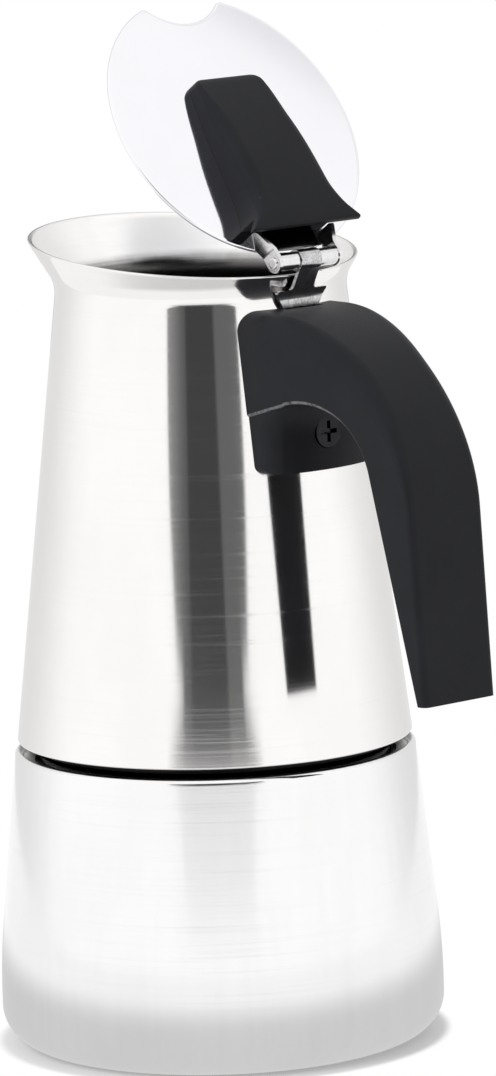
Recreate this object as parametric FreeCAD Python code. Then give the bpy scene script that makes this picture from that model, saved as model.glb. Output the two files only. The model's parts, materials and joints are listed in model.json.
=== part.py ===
import FreeCAD, Part
import math
import os
from FreeCAD import Vector

# A stove-top moka pot in polished steel with a black plastic handle, in millimetres.
# The origin is the centre of the boiler's underside, +Z is up, the handle points along +X
# and the pouring lip along -X. The lid stands half open, turned about its hinge pin.

# Boiler
boiler_radius = 44.6
base_corner = 7.6
belly_height = 17.4
belly_round = 150.0
shoulder_inset = 4.4
shoulder_height = 59.6
shoulder_round = 1.1
boiler_wall = 0.8
shoulder_width = 4.9
neck_height = 12.4
neck_round = 0.9

# Screw joint between boiler and collector
thread_pitch = 3.0
thread_turns = 1.8
thread_depth = 0.8
thread_root = 1.2
thread_crest = 0.7
thread_start = 2.6
thread_clearance = 0.3
thread_relief = 1.2
seam_gap = 2.0

# Collector
foot_inset = 0.55
waist_inset = 10.81
cone_height = 91.66
waist_round = 7.0
flare_angle = 31.0
flare_length = 14.0
rim_rise = 6.71
rim_tilt = 6.12
collector_wall = 0.8
weld_gap = 0.05

# Funnel, sieve, gasket and filter plate
funnel_wall = 0.7
basket_clearance = 2.0
basket_depth = 22.0
basket_ledge = 1.4
basket_cone_drop = 12.0
basket_cone_round = 2.1
stem_radius = 5.2
stem_floor_gap = 6.0
sieve_thickness = 0.6
sieve_fit = 0.15
gasket_thickness = 3.6
gasket_width = 7.8
gasket_groove = 1.6
gasket_side_clearance = 0.3
filter_thickness = 0.6
filter_fit = 0.05
hole_radius = 0.6
hole_pitch = 4.4
hole_margin = 2.2

# Collector floor and chimney
floor_wall = 0.8
floor_seat_width = 10.0
floor_cone_rise = 13.0
floor_neck_height = 6.0
floor_weld_height = 4.0
floor_neck_round = 0.8
floor_cone_round = 2.4
floor_edge_round = 1.6
chimney_bore = 7.0
chimney_wall = 0.8
chimney_rise = 44.7
chimney_fit = 0.05
cap_wall = 0.8
cap_overlap = 5.0
cap_rise = 7.0
cap_round = 3.0
cap_window_width = 7.0
cap_window_height = 4.0
cap_window_count = 2

# Safety valve in the boiler's wall, on the +Y side
valve_height = 34.0
valve_pad_radius = 7.6
valve_pad_rise = 0.9
valve_pad_depth = 2.3
valve_shank_radius = 4.0
valve_shank_fit = 0.1
valve_head_flats = 11.0
valve_head_thickness = 4.0
valve_nose_radius = 4.6
valve_nose_length = 2.0
valve_washer_radius = 6.2
valve_washer_thickness = 1.0
valve_nut_flats = 12.0
valve_nut_thickness = 3.0
valve_shank_spare = 1.2
valve_seat_thickness = 1.6
valve_inlet_radius = 1.4
valve_chamber_radius = 2.7
valve_retainer_thickness = 0.8
valve_retainer_fit = 0.05
valve_pin_radius = 0.8
valve_pin_clearance = 0.1
valve_pin_showing = 0.8
valve_plug_radius = 2.2
valve_plug_thickness = 1.2
spring_wire = 0.45
spring_mean_radius = 1.65
spring_turns = 8
spring_seat_gap = 0.02

# Hinge
hinge_out = 2.84
hinge_drop = 0.45
lid_open_angle = 56.3
pin_radius = 1.2
pin_running_fit = 0.05
pin_press_fit = 0.01
pin_end_showing = 0.4
pin_end_round = 0.35
knuckle_radius = 2.1
knuckle_half_width = 2.6
knuckle_side_gap = 0.15
sleeve_radius = 1.75
bracket_thickness = 0.7
bracket_standoff = 0.6
bracket_half_width = 4.65
bracket_wing_half_width = 6.6
bracket_wing_rise = 0.34
bracket_wing_drop = 3.4
bracket_length = 13.76
bracket_bend_round = 2.0
bracket_root_round = 1.0
bracket_tip_round = 0.4
bracket_neck_round = 0.8

# Lid
lid_overlap = 0.36
lid_shift = 0.27
lid_drop = 2.25
lid_thickness = 0.8
notch_radius = 12.8
notch_depth = 5.85
notch_horn_round = 1.5
leaf_thickness = 0.8
leaf_ear_offset = 8.2
leaf_spread_offset = 10.3
leaf_ear_flat = 2.3
leaf_ear_round = 2.0
leaf_ear_rise = 1.1
leaf_ear_tip_round = 1.0
leaf_near = 3.6
leaf_far = 16.5
leaf_lobe = 6.8
leaf_plate_half_width = 6.4
leaf_corner_round = 2.0
leaf_bend_round = 1.2

# Knob on the lid, measured from the hinge pin and from the lid's face
knob_offset = 1.0
knob_far = 41.6
knob_far_half_width = 8.5
knob_far_height = 2.2
knob_far_round = 0.9
knob_rise_reach = 36.5
knob_rise_half_width = 9.15
knob_rise_height = 3.4
knob_crown_reach = 22.0
knob_crown_height = 6.9
knob_waist_reach = 15.5
knob_waist_height = 7.5
knob_half_width = 9.4
knob_edge_round = 2.6
knob_flare_reach = 9.5
knob_flare_half_width = 11.7
knob_flare_height = 7.0
knob_flare_round = 1.7
knob_tail_reach = 5.7
knob_tail_half_width = 14.1
knob_tail_height = 6.6
knob_tail_round = 0.8
knob_tail_thickness = 1.8
knob_tail_root = 8.6
knob_end_round = 0.6
knob_pocket_clearance = 0.15

# Screws under the lid
lid_screw_near = 13.0
lid_screw_far = 30.0
lid_screw_radius = 1.3
lid_screw_head_radius = 2.6
lid_screw_head_height = 1.1
lid_screw_bite = 2.2
lid_screw_fit = 0.05

# Handle
handle_drop = 3.2
handle_length = 73.66
handle_out = 28.4
handle_lean = 4.0
handle_bend_round = 39.5
handle_arch_back = 13.0
handle_tip_thickness = 2.6
handle_arm_depth = 13.06
handle_arch_slope = 16.0
handle_arch_round = 16.5
handle_boss_thickness = 4.0
handle_boss_round = 8.0
handle_boss_height = 31.56
handle_boss_half_width = 13.6
handle_shoulder_out = 6.16
handle_waist_back = 20.2
handle_waist_half_width = 10.7
handle_tip_half_width = 9.3
handle_waist_round = 40.0
handle_pad_step = 0.3
handle_pad_round = 4.0
handle_top_round = 4.2
handle_ridge_round = 1.4
handle_inner_round = 0.8
handle_corner_round = 1.5
handle_body_gap = 0.1
handle_pocket_clearance = 0.15

# Screw and weld stud that hold the handle
stud_rise = 7.5
stud_radius = 4.0
stud_length = 2.4
handle_screw_radius = 2.0
handle_screw_head_radius = 3.2
handle_screw_head_height = 1.7
handle_screw_seat = 1.0
handle_screw_fit = 0.05
handle_screw_spare = 0.4
screw_recess_width = 0.9
screw_recess_length = 4.2
screw_recess_depth = 1.0

# Sizes that follow from the ones above
shoulder_radius = boiler_radius - shoulder_inset
neck_radius = shoulder_radius - shoulder_width
neck_top = shoulder_height + neck_height
boiler_taper = shoulder_inset / (shoulder_height - belly_height)
flange_top = neck_top + funnel_wall
seat_height = flange_top + gasket_thickness
basket_radius = neck_radius - boiler_wall - basket_clearance
collector_foot = shoulder_height + seam_gap
collector_foot_radius = shoulder_radius - foot_inset
collector_taper = waist_inset / cone_height
waist_radius = collector_foot_radius - waist_inset
waist_height = collector_foot + cone_height
rim_height = waist_height + rim_rise
collar_bore = neck_radius + thread_depth + thread_clearance
collar_top_bore = neck_radius + thread_clearance
gasket_radius = collar_top_bore - gasket_side_clearance
gasket_inner_radius = gasket_radius - gasket_width
chimney_top = seat_height + chimney_rise
valve_pad_thickness = valve_pad_depth + valve_pad_rise
valve_inner_end = -valve_pad_thickness - valve_nut_thickness - valve_shank_spare
valve_seat = valve_inner_end + valve_seat_thickness
valve_plug_face = valve_seat + valve_plug_thickness
valve_head_end = valve_washer_thickness + valve_head_thickness
valve_outer_end = valve_head_end + valve_nose_length
valve_retainer_face = valve_outer_end - valve_retainer_thickness
hinge_x = waist_radius + hinge_out
hinge_z = rim_height - hinge_drop
lid_top = hinge_z - lid_drop
lid_radius = waist_radius + lid_overlap
lid_reach = hinge_x + lid_shift
bracket_foot = waist_height - bracket_length
bracket_wing_height = waist_height + bracket_wing_rise
bracket_x = waist_radius - collector_taper * bracket_wing_rise + bracket_standoff
bracket_lift_off = bracket_wing_height - bracket_standoff / collector_taper
handle_top = waist_height - handle_drop
handle_tip = handle_top - handle_length
handle_bend_x = collector_foot_radius + handle_out
handle_reach = handle_bend_x + math.tan(math.radians(handle_lean)) * handle_length
handle_arch_corner = handle_top - handle_arm_depth
handle_boss_bottom = handle_top - handle_boss_height
handle_shoulder_reach = waist_radius + handle_shoulder_out
handle_waist_reach = handle_reach - handle_waist_back
handle_pad_half_width = handle_boss_half_width - handle_pad_step
stud_height = handle_boss_bottom + stud_rise
match_tolerance = 0.01
axis_up = Vector(0, 0, 1)
out_x = Vector(1, 0, 0)
out_y = Vector(0, 1, 0)
origin = Vector(0, 0, 0)


def in_xz(a, b):
    """Point of an upright drawing through the axis."""
    return Vector(a, 0, b)


def in_xy(a, b):
    """Point of a level drawing."""
    return Vector(a, b, 0)


def in_yz(a, b):
    """Point of an upright drawing square to X."""
    return Vector(0, a, b)


def boiler_radius_at(z):
    """Outer radius of the boiler's tapered wall at height z."""
    return shoulder_radius + boiler_taper * (shoulder_height - z)


def collector_radius_at(z):
    """Outer radius of the collector's cone at height z."""
    return collector_foot_radius - collector_taper * (z - collector_foot)


def collector_bore_at(z):
    """Inner radius of the collector's cone at height z."""
    return collector_radius_at(z) - collector_wall * math.hypot(1, collector_taper)


def direction(start, end):
    """Unit vector of a flat drawing from one point towards another."""
    length = math.hypot(end[0] - start[0], end[1] - start[1])
    return ((end[0] - start[0]) / length, (end[1] - start[1]) / length)


def rounding(before, corner, after):
    """Start, middle and end of the arc that rounds a corner (a, b, radius)."""
    inward = direction(corner, before)
    onward = direction(corner, after)
    half = math.acos(inward[0] * onward[0] + inward[1] * onward[1]) / 2
    reach = corner[2] / math.tan(half)
    bisector = direction((0, 0), (inward[0] + onward[0], inward[1] + onward[1]))
    inset = corner[2] / math.sin(half) - corner[2]
    start = (corner[0] + inward[0] * reach, corner[1] + inward[1] * reach)
    middle = (corner[0] + bisector[0] * inset, corner[1] + bisector[1] * inset)
    end = (corner[0] + onward[0] * reach, corner[1] + onward[1] * reach)
    return start, middle, end


def edges_through(corners, place, closed):
    """Lines through corners (a, b, radius), with an arc at each rounded corner."""
    count = len(corners)
    stops = []
    for index, corner in enumerate(corners):
        at_end = not closed and index in (0, count - 1)
        if at_end or corner[2] == 0:
            stops.append((corner[:2],))
        else:
            stops.append(rounding(corners[index - 1], corner, corners[(index + 1) % count]))
    edges = []
    for index, stop in enumerate(stops):
        if len(stop) == 3:
            edges.append(Part.Arc(*[place(*point) for point in stop]).toShape())
        if closed or index < count - 1:
            start = place(*stop[-1])
            end = place(*stops[(index + 1) % count][0])
            if start.distanceToPoint(end) > match_tolerance:
                edges.append(Part.makeLine(start, end))
    return edges


def beside(corners, gap, closed):
    """The same run of corners moved to its left by a gap, with its roundings kept parallel."""
    count = len(corners)
    moved = []
    for index, corner in enumerate(corners):
        has_before = closed or index > 0
        has_after = closed or index < count - 1
        after = direction(corner, corners[(index + 1) % count]) if has_after else None
        before = direction(corners[index - 1], corner) if has_before else after
        after = after or before
        turn = before[0] * after[1] - before[1] * after[0]
        shared = 1 + before[0] * after[0] + before[1] * after[1]
        across = (-(before[1] + after[1]) / shared, (before[0] + after[0]) / shared)
        radius = corner[2] - math.copysign(gap, turn) if corner[2] else 0
        moved.append((corner[0] + across[0] * gap, corner[1] + across[1] * gap, max(radius, 0)))
    return moved


def mirrored(one_side, swapped=False):
    """Closed run of corners from one side's run and its mirror image."""
    if swapped:
        return one_side + [(a, -b, radius) for a, b, radius in one_side[::-1]]
    return one_side + [(-a, b, radius) for a, b, radius in one_side[::-1]]


def filled(corners, place):
    """Face inside a closed run of corners."""
    return Part.Face(Part.Wire(edges_through(corners, place, True)))


def sheet(corners, wall, place):
    """Face of a sheet's section: a run of corners and the same run moved left by the wall."""
    other = beside(corners, wall, False)[::-1]
    first = edges_through(corners, place, False)
    second = edges_through(other, place, False)
    turn_up = Part.makeLine(place(*corners[-1][:2]), place(*other[0][:2]))
    close = Part.makeLine(place(*other[-1][:2]), place(*corners[0][:2]))
    return Part.Face(Part.Wire(first + [turn_up] + second + [close]))


def edges_over(solid, run, place):
    """Edges of a solid that lie straight beside a run of corners in the middle plane."""
    line = Part.Wire(edges_through(run, place, False))
    found = []
    for edge in solid.Edges:
        middle = edge.valueAt((edge.FirstParameter + edge.LastParameter) / 2)
        beside_line = line.distToShape(Part.Vertex(middle.x, 0, middle.z))[0] < match_tolerance
        along = edge.tangentAt((edge.FirstParameter + edge.LastParameter) / 2)
        if beside_line and abs(along.y) < math.hypot(along.x, along.z):
            found.append(edge)
    return found


def sound(shape):
    """The shape with its outside facing out."""
    solid = Part.Solid(shape.Shells[0])
    if solid.Volume < 0:
        solid.reverse()
    return solid


def revolved(face):
    """Solid of revolution about the pot's axis."""
    return sound(face.revolve(origin, axis_up, 360))


def across_y(face, half_width):
    """Solid that carries an upright drawing to both sides of the middle plane."""
    moved = face.translated(Vector(0, -half_width, 0))
    return sound(moved.extrude(Vector(0, 2 * half_width, 0)))


def rod(radius, start, along, length):
    """Round bar from a start point."""
    return Part.makeCylinder(radius, length, start, along)


def ring(outer, inner, start, along, length):
    """Round bar with a round hole."""
    return rod(outer, start, along, length).cut(rod(inner, start, along, length))


def hexagon(flats, start, length):
    """Hexagonal bar along +Y."""
    corner = flats / math.sqrt(3)
    points = []
    for index in range(7):
        angle = math.radians(60 * index)
        points.append(start + Vector(corner * math.cos(angle), 0, corner * math.sin(angle)))
    return sound(Part.Face(Part.makePolygon(points)).extrude(Vector(0, length, 0)))


def thread_ridge(root_radius, crest_radius, start_height):
    """Helical ridge from a root radius to a crest radius."""
    side = math.copysign(1, crest_radius - root_radius)
    bite = root_radius - side * collector_wall / 4
    points = [Vector(bite, 0, start_height - thread_root / 2),
              Vector(root_radius, 0, start_height - thread_root / 2),
              Vector(crest_radius, 0, start_height - thread_crest / 2),
              Vector(crest_radius, 0, start_height + thread_crest / 2),
              Vector(root_radius, 0, start_height + thread_root / 2),
              Vector(bite, 0, start_height + thread_root / 2)]
    section = Part.makePolygon(points + points[:1])
    helix = Part.makeHelix(thread_pitch, thread_pitch * thread_turns, root_radius)
    helix.translate(Vector(0, 0, start_height))
    return sound(Part.Wire(helix.Edges).makePipeShell([section], True, True))


def perforated_disc(radius, thickness, height):
    """Disc with rings of round holes."""
    disc = Part.Wire(Part.makeCircle(radius, Vector(0, 0, height)))
    holes = [Part.Wire(Part.makeCircle(hole_radius, Vector(0, 0, height)))]
    rings = int((radius - hole_margin) / hole_pitch)
    for row in range(1, rings + 1):
        for index in range(6 * row):
            angle = 2 * math.pi * index / (6 * row)
            centre = Vector(row * hole_pitch * math.cos(angle), row * hole_pitch * math.sin(angle), height)
            holes.append(Part.Wire(Part.makeCircle(hole_radius, centre)))
    face = Part.Face([disc] + holes)
    face.validate()
    return sound(face.extrude(Vector(0, 0, thickness)))


def cone_of_collector(gap):
    """The space inside the collector's straight cone and a gap round it."""
    low = collector_foot
    high = waist_height
    foot = collector_radius_at(low) + gap
    return Part.makeCone(foot, collector_radius_at(high) + gap, high - low, Vector(0, 0, low))


def opened(shape):
    """A piece of the closed lid turned to its half-open place."""
    return shape.rotated(Vector(hinge_x, 0, hinge_z), Vector(0, 1, 0), lid_open_angle)


def lid_xy(reach, side):
    """Point on the closed lid's face, at a reach from the hinge pin."""
    return Vector(hinge_x - reach, side, lid_top)


def lid_xz(reach, height):
    """Point of the closed lid's middle plane, at a height over the lid's face."""
    return Vector(hinge_x - reach, 0, lid_top + height)


def boiler_shell():
    """Water boiler: one sheet from the floor to the neck, with its thread and valve pad."""
    run = [(0, 0, 0),
           (boiler_radius, 0, base_corner),
           (boiler_radius, belly_height, belly_round),
           (shoulder_radius, shoulder_height, shoulder_round),
           (neck_radius, shoulder_height, neck_round),
           (neck_radius, neck_top, 0)]
    shell = revolved(sheet(run, boiler_wall, in_xz))
    ridge = thread_ridge(neck_radius, neck_radius + thread_depth, shoulder_height + seam_gap + thread_start)
    wall = boiler_radius_at(valve_height)
    inner = Vector(0, wall - valve_pad_depth, valve_height)
    pad = rod(valve_pad_radius, inner, out_y, valve_pad_thickness)
    hole = rod(valve_shank_radius + valve_shank_fit, inner, out_y, valve_pad_thickness)
    return shell.fuse(ridge).fuse(pad).cut(hole)


def valve_axis_point(beyond_pad):
    """Point on the valve's axis, at a distance out from the pad's face."""
    return Vector(0, boiler_radius_at(valve_height) + valve_pad_rise + beyond_pad, valve_height)


def valve_washer():
    """Flat sealing washer between the pad and the valve's head."""
    inner = valve_shank_radius + valve_shank_fit
    return ring(valve_washer_radius, inner, valve_axis_point(0), out_y, valve_washer_thickness)


def valve_body():
    """Brass valve body: hexagon, nose and shank, bored for the plug and its spring."""
    head = hexagon(valve_head_flats, valve_axis_point(valve_washer_thickness), valve_head_thickness)
    nose = rod(valve_nose_radius, valve_axis_point(valve_head_end), out_y, valve_nose_length)
    shank_length = valve_washer_thickness - valve_inner_end
    shank = rod(valve_shank_radius, valve_axis_point(valve_inner_end), out_y, shank_length)
    chamber = rod(valve_chamber_radius, valve_axis_point(valve_seat), out_y, valve_outer_end - valve_seat)
    inlet = rod(valve_inlet_radius, valve_axis_point(valve_inner_end), out_y, valve_seat_thickness)
    return head.fuse(nose).fuse(shank).cut(chamber).cut(inlet)


def valve_nut():
    """Lock nut on the shank, inside the boiler."""
    start = valve_axis_point(-valve_pad_thickness - valve_nut_thickness)
    hole = rod(valve_shank_radius + valve_shank_fit, start, out_y, valve_nut_thickness)
    return hexagon(valve_nut_flats, start, valve_nut_thickness).cut(hole)


def valve_retainer():
    """Ring pressed into the nose, which backs the spring and guides the pin."""
    outer = valve_chamber_radius - valve_retainer_fit
    inner = valve_pin_radius + valve_pin_clearance
    return ring(outer, inner, valve_axis_point(valve_retainer_face), out_y, valve_retainer_thickness)


def valve_pin():
    """Plug on the valve's seat with a pin that shows through the retainer."""
    plug = rod(valve_plug_radius, valve_axis_point(valve_seat), out_y, valve_plug_thickness)
    length = valve_outer_end + valve_pin_showing - valve_plug_face
    pin = rod(valve_pin_radius, valve_axis_point(valve_plug_face), out_y, length)
    return plug.fuse(pin)


def valve_spring():
    """Coil spring between the plug and the retainer."""
    first = valve_plug_face + spring_seat_gap + spring_wire / 2
    last = valve_retainer_face - spring_seat_gap - spring_wire / 2
    pitch = (last - first) / spring_turns
    print("least gap between the turns of the valve's spring:", round(pitch - spring_wire, 3), "mm")
    helix = Part.makeHelix(pitch, last - first, spring_mean_radius)
    section = Part.Wire(Part.makeCircle(spring_wire / 2, Vector(spring_mean_radius, 0, 0), Vector(0, 1, 0)))
    coil = sound(Part.Wire(helix.Edges).makePipeShell([section], True, True))
    coil.rotate(origin, Vector(1, 0, 0), -90)
    coil.translate(valve_axis_point(first))
    return coil


def funnel():
    """Coffee basket with its stem: one sheet from the stem's end to the flange on the neck."""
    basket_floor = neck_top - basket_depth
    run = [(stem_radius, boiler_wall + stem_floor_gap, 0),
           (stem_radius, basket_floor - basket_cone_drop, basket_cone_round),
           (basket_radius - basket_ledge, basket_floor, 0),
           (basket_radius, basket_floor, 0),
           (basket_radius, neck_top, 0),
           (neck_radius, neck_top, 0)]
    return revolved(sheet(run, funnel_wall, in_xz))


def funnel_sieve():
    """Perforated plate on the ledge at the bottom of the basket."""
    radius = basket_radius - funnel_wall - sieve_fit
    return perforated_disc(radius, sieve_thickness, neck_top - basket_depth + funnel_wall)


def gasket():
    """Sealing ring on the funnel's flange, with a groove for the filter plate."""
    slot = filter_thickness + 2 * filter_fit
    low = flange_top + (gasket_thickness - slot) / 2
    high = low + slot
    groove = gasket_inner_radius + gasket_groove
    corners = [(gasket_radius, flange_top, 0), (gasket_radius, seat_height, 0),
               (gasket_inner_radius, seat_height, 0), (gasket_inner_radius, high, 0),
               (groove, high, 0), (groove, low, 0),
               (gasket_inner_radius, low, 0), (gasket_inner_radius, flange_top, 0)]
    return revolved(filled(corners, in_xz))


def filter_plate():
    """Perforated plate held in the gasket's groove."""
    radius = gasket_inner_radius + gasket_groove - filter_fit
    height = flange_top + (gasket_thickness - filter_thickness) / 2
    return perforated_disc(radius, filter_thickness, height)


def collector_shell():
    """Jug of one sheet: a cone with a flared rim, cut on a slant so that the lip stands higher."""
    spread = math.radians(flare_angle)
    run = [(collector_foot_radius, collector_foot, 0),
           (waist_radius, waist_height, waist_round),
           (waist_radius + flare_length * math.sin(spread),
            waist_height + flare_length * math.cos(spread), 0)]
    shell = revolved(sheet(run, collector_wall, in_xz))
    size = rim_height
    above = Part.makeBox(2 * size, 2 * size, size, Vector(-size, -size, 0))
    above.rotate(origin, Vector(0, 1, 0), rim_tilt)
    above.translate(Vector(0, 0, rim_height))
    return shell.cut(above)


def threaded_collar():
    """Ring welded inside the collector's foot, with the thread that takes the boiler's neck."""
    outer_low = collector_bore_at(collector_foot) - weld_gap
    outer_high = collector_bore_at(seat_height) - weld_gap
    relief = neck_top - thread_relief
    corners = [(collar_bore, collector_foot, 0), (outer_low, collector_foot, 0),
               (outer_high, seat_height, 0), (collar_top_bore, seat_height, 0),
               (collar_top_bore, relief, 0), (collar_bore, relief, 0)]
    ring_body = revolved(filled(corners, in_xz))
    start = shoulder_height + seam_gap + thread_start - thread_pitch / 2
    ridge = thread_ridge(collar_bore, neck_radius + thread_clearance, start)
    return ring_body.fuse(ridge)


def collector_floor():
    """Floor of the jug: a gasket seat that rises in a cone to the chimney's spigot."""
    cone_top = seat_height + floor_cone_rise
    outer = collector_bore_at(seat_height) - weld_gap
    weld_top = seat_height + floor_weld_height
    run = [(chimney_bore, cone_top + floor_neck_height, 0),
           (chimney_bore, cone_top, floor_neck_round),
           (outer - floor_seat_width, seat_height, floor_cone_round),
           (outer, seat_height, floor_edge_round),
           (collector_bore_at(weld_top) - weld_gap, weld_top, 0)]
    return revolved(sheet(run, floor_wall, in_xz))


def chimney():
    """Straight riser tube over the floor's spigot."""
    inner = chimney_bore + floor_wall + chimney_fit
    foot = seat_height + floor_cone_rise + floor_wall
    return ring(inner + chimney_wall, inner, Vector(0, 0, foot), axis_up, chimney_top - foot)


def chimney_cap():
    """Domed cap over the chimney, with side windows where the coffee comes out."""
    outer = chimney_bore + floor_wall + chimney_wall + 2 * chimney_fit + cap_wall
    top = chimney_top + cap_rise
    run = [(outer, chimney_top - cap_overlap, 0), (outer, top, cap_round), (0, top, 0)]
    cap = revolved(sheet(run, cap_wall, in_xz))
    sill = chimney_top + (cap_rise - cap_round - cap_window_height) / 2
    for index in range(cap_window_count):
        window = Part.makeBox(2 * outer, cap_window_width, cap_window_height,
                              Vector(0, -cap_window_width / 2, sill))
        window.rotate(origin, axis_up, 90 + 360 * index / cap_window_count)
        cap = cap.cut(window)
    return cap


def hinge_bracket():
    """Strap welded to the collector, with two wings under the rim and a knuckle round the hinge pin."""
    bend = bracket_wing_height - bracket_bend_round / 2
    knuckle_side = hinge_x + knuckle_radius - bracket_thickness
    run = [(collector_radius_at(bracket_foot) + weld_gap, bracket_foot, 0),
           (bracket_x, bracket_lift_off, bracket_bend_round),
           (bracket_x, bend, bracket_bend_round),
           (knuckle_side, hinge_z, 0)]
    band = across_y(sheet(run, -bracket_thickness, in_xz), bracket_wing_half_width)
    wing_root = bracket_wing_height - bracket_wing_drop
    one_side = [(bracket_half_width, bracket_foot, 0),
                (bracket_half_width, wing_root, bracket_root_round),
                (bracket_wing_half_width, bracket_wing_height, bracket_tip_round),
                (knuckle_half_width, bracket_wing_height, bracket_neck_round),
                (knuckle_half_width, hinge_z + knuckle_radius, 0)]
    shape = filled(mirrored(one_side), in_yz).extrude(Vector(2 * hinge_x, 0, 0))
    start = Vector(hinge_x, -knuckle_half_width, hinge_z)
    knuckle = rod(knuckle_radius, start, out_y, 2 * knuckle_half_width)
    bore = rod(pin_radius + pin_running_fit, start, out_y, 2 * knuckle_half_width)
    return band.common(sound(shape)).fuse(knuckle).cut(bore)


def hinge_pin():
    """Pin through the ears of the lid's hinge leaf, with its ends rounded."""
    reach = leaf_ear_offset + pin_end_showing
    pin = rod(pin_radius, Vector(hinge_x, -reach, hinge_z), out_y, 2 * reach)
    ends = [edge for edge in pin.Edges if edge.isClosed()]
    return opened(pin.makeFillet(pin_end_round, ends))


def hinge_sleeves():
    """Two spacer tubes on the pin, one on each side of the bracket's knuckle."""
    start = knuckle_half_width + knuckle_side_gap
    length = leaf_ear_offset - leaf_thickness - start
    bore = pin_radius + pin_press_fit
    sleeves = []
    for side in (-1, 1):
        foot = Vector(hinge_x, side * start, hinge_z)
        sleeves.append(opened(ring(sleeve_radius, bore, foot, Vector(0, side, 0), length)))
    return Part.makeCompound(sleeves)


def lid_disc():
    """Flat round lid with a pouring notch opposite the hinge and holes for the knob's screws."""
    low = Vector(0, 0, -lid_thickness)
    disc = rod(lid_radius, lid_xy(lid_reach, 0) + low, axis_up, lid_thickness)
    notch_reach = lid_reach + lid_radius - notch_depth + notch_radius
    disc = disc.cut(rod(notch_radius, lid_xy(notch_reach, 0) + low, axis_up, lid_thickness))
    horns = [edge for edge in disc.Edges if is_horn(edge)]
    disc = disc.makeFillet(notch_horn_round, horns)
    screw_hole = lid_screw_radius + lid_screw_fit
    for reach in (lid_screw_near, lid_screw_far):
        disc = disc.cut(rod(screw_hole, lid_xy(reach, 0) + low, axis_up, lid_thickness))
    return opened(disc)


def is_horn(edge):
    """True for the upright edges where the notch meets the lid's rim."""
    start = edge.Vertexes[0].Point
    end = edge.Vertexes[-1].Point
    upright = abs(start.z - end.z) > lid_thickness / 2
    return upright and start.x < hinge_x - lid_reach - lid_radius / 2 and abs(start.y) > lid_thickness


def leaf_ears(grown):
    """Two ears that run from the hinge pin to the lid, spread apart towards the lid."""
    run = [(-leaf_ear_round - grown, leaf_ear_offset + grown, 0),
           (leaf_ear_flat, leaf_ear_offset + grown, leaf_bend_round),
           (leaf_lobe + grown, leaf_spread_offset + grown, 0)]
    strip = sheet(run, -leaf_thickness - 2 * grown, lid_xy)
    top = lid_drop + leaf_ear_round + grown
    near_ear = sound(strip.extrude(Vector(0, 0, top)))
    side = [(0, top, 0),
            (leaf_lobe + grown, lid_drop + leaf_ear_rise + grown, leaf_ear_tip_round),
            (leaf_lobe + grown, 0, 0),
            (leaf_near, 0, 0),
            (0, lid_drop - leaf_ear_round - grown, 0)]
    arm = filled(side, lid_xz)
    width = leaf_spread_offset + leaf_thickness
    eye = rod(leaf_ear_round + grown, Vector(hinge_x, -width, hinge_z), out_y, 2 * width)
    near_ear = near_ear.common(across_y(arm, width).fuse(eye))
    return near_ear.fuse(near_ear.mirror(origin, out_y))


def lid_hinge_leaf():
    """Bent leaf on the lid: a plate under the knob and two ears that hold the hinge pin."""
    inner = leaf_ear_offset - leaf_thickness / 2
    spread = leaf_spread_offset - leaf_thickness / 2
    one_side = [(leaf_far, leaf_plate_half_width, leaf_corner_round),
                (leaf_lobe, leaf_plate_half_width, 0),
                (leaf_lobe, spread, 0),
                (leaf_near, inner, 0)]
    plate = sound(filled(mirrored(one_side, True), lid_xy).extrude(Vector(0, 0, leaf_thickness)))
    leaf = plate.fuse(leaf_ears(0))
    hole = rod(lid_screw_radius + lid_screw_fit, lid_xy(lid_screw_near, 0), axis_up, leaf_thickness)
    eye = rod(pin_radius + pin_press_fit, Vector(hinge_x, -lid_radius, hinge_z), out_y, 2 * lid_radius)
    return opened(leaf.cut(hole).cut(eye))


def knob_section(reach, half_width, height, rounding):
    """Upright section across the knob, with rounded top corners."""
    outline = [(-half_width, 0, 0), (-half_width, height, rounding), (half_width, height, rounding),
               (half_width, 0, 0)]
    return Part.Wire(edges_through(outline, lambda side, up: lid_xy(reach, knob_offset + side) + up * axis_up,
                                   True))


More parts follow.
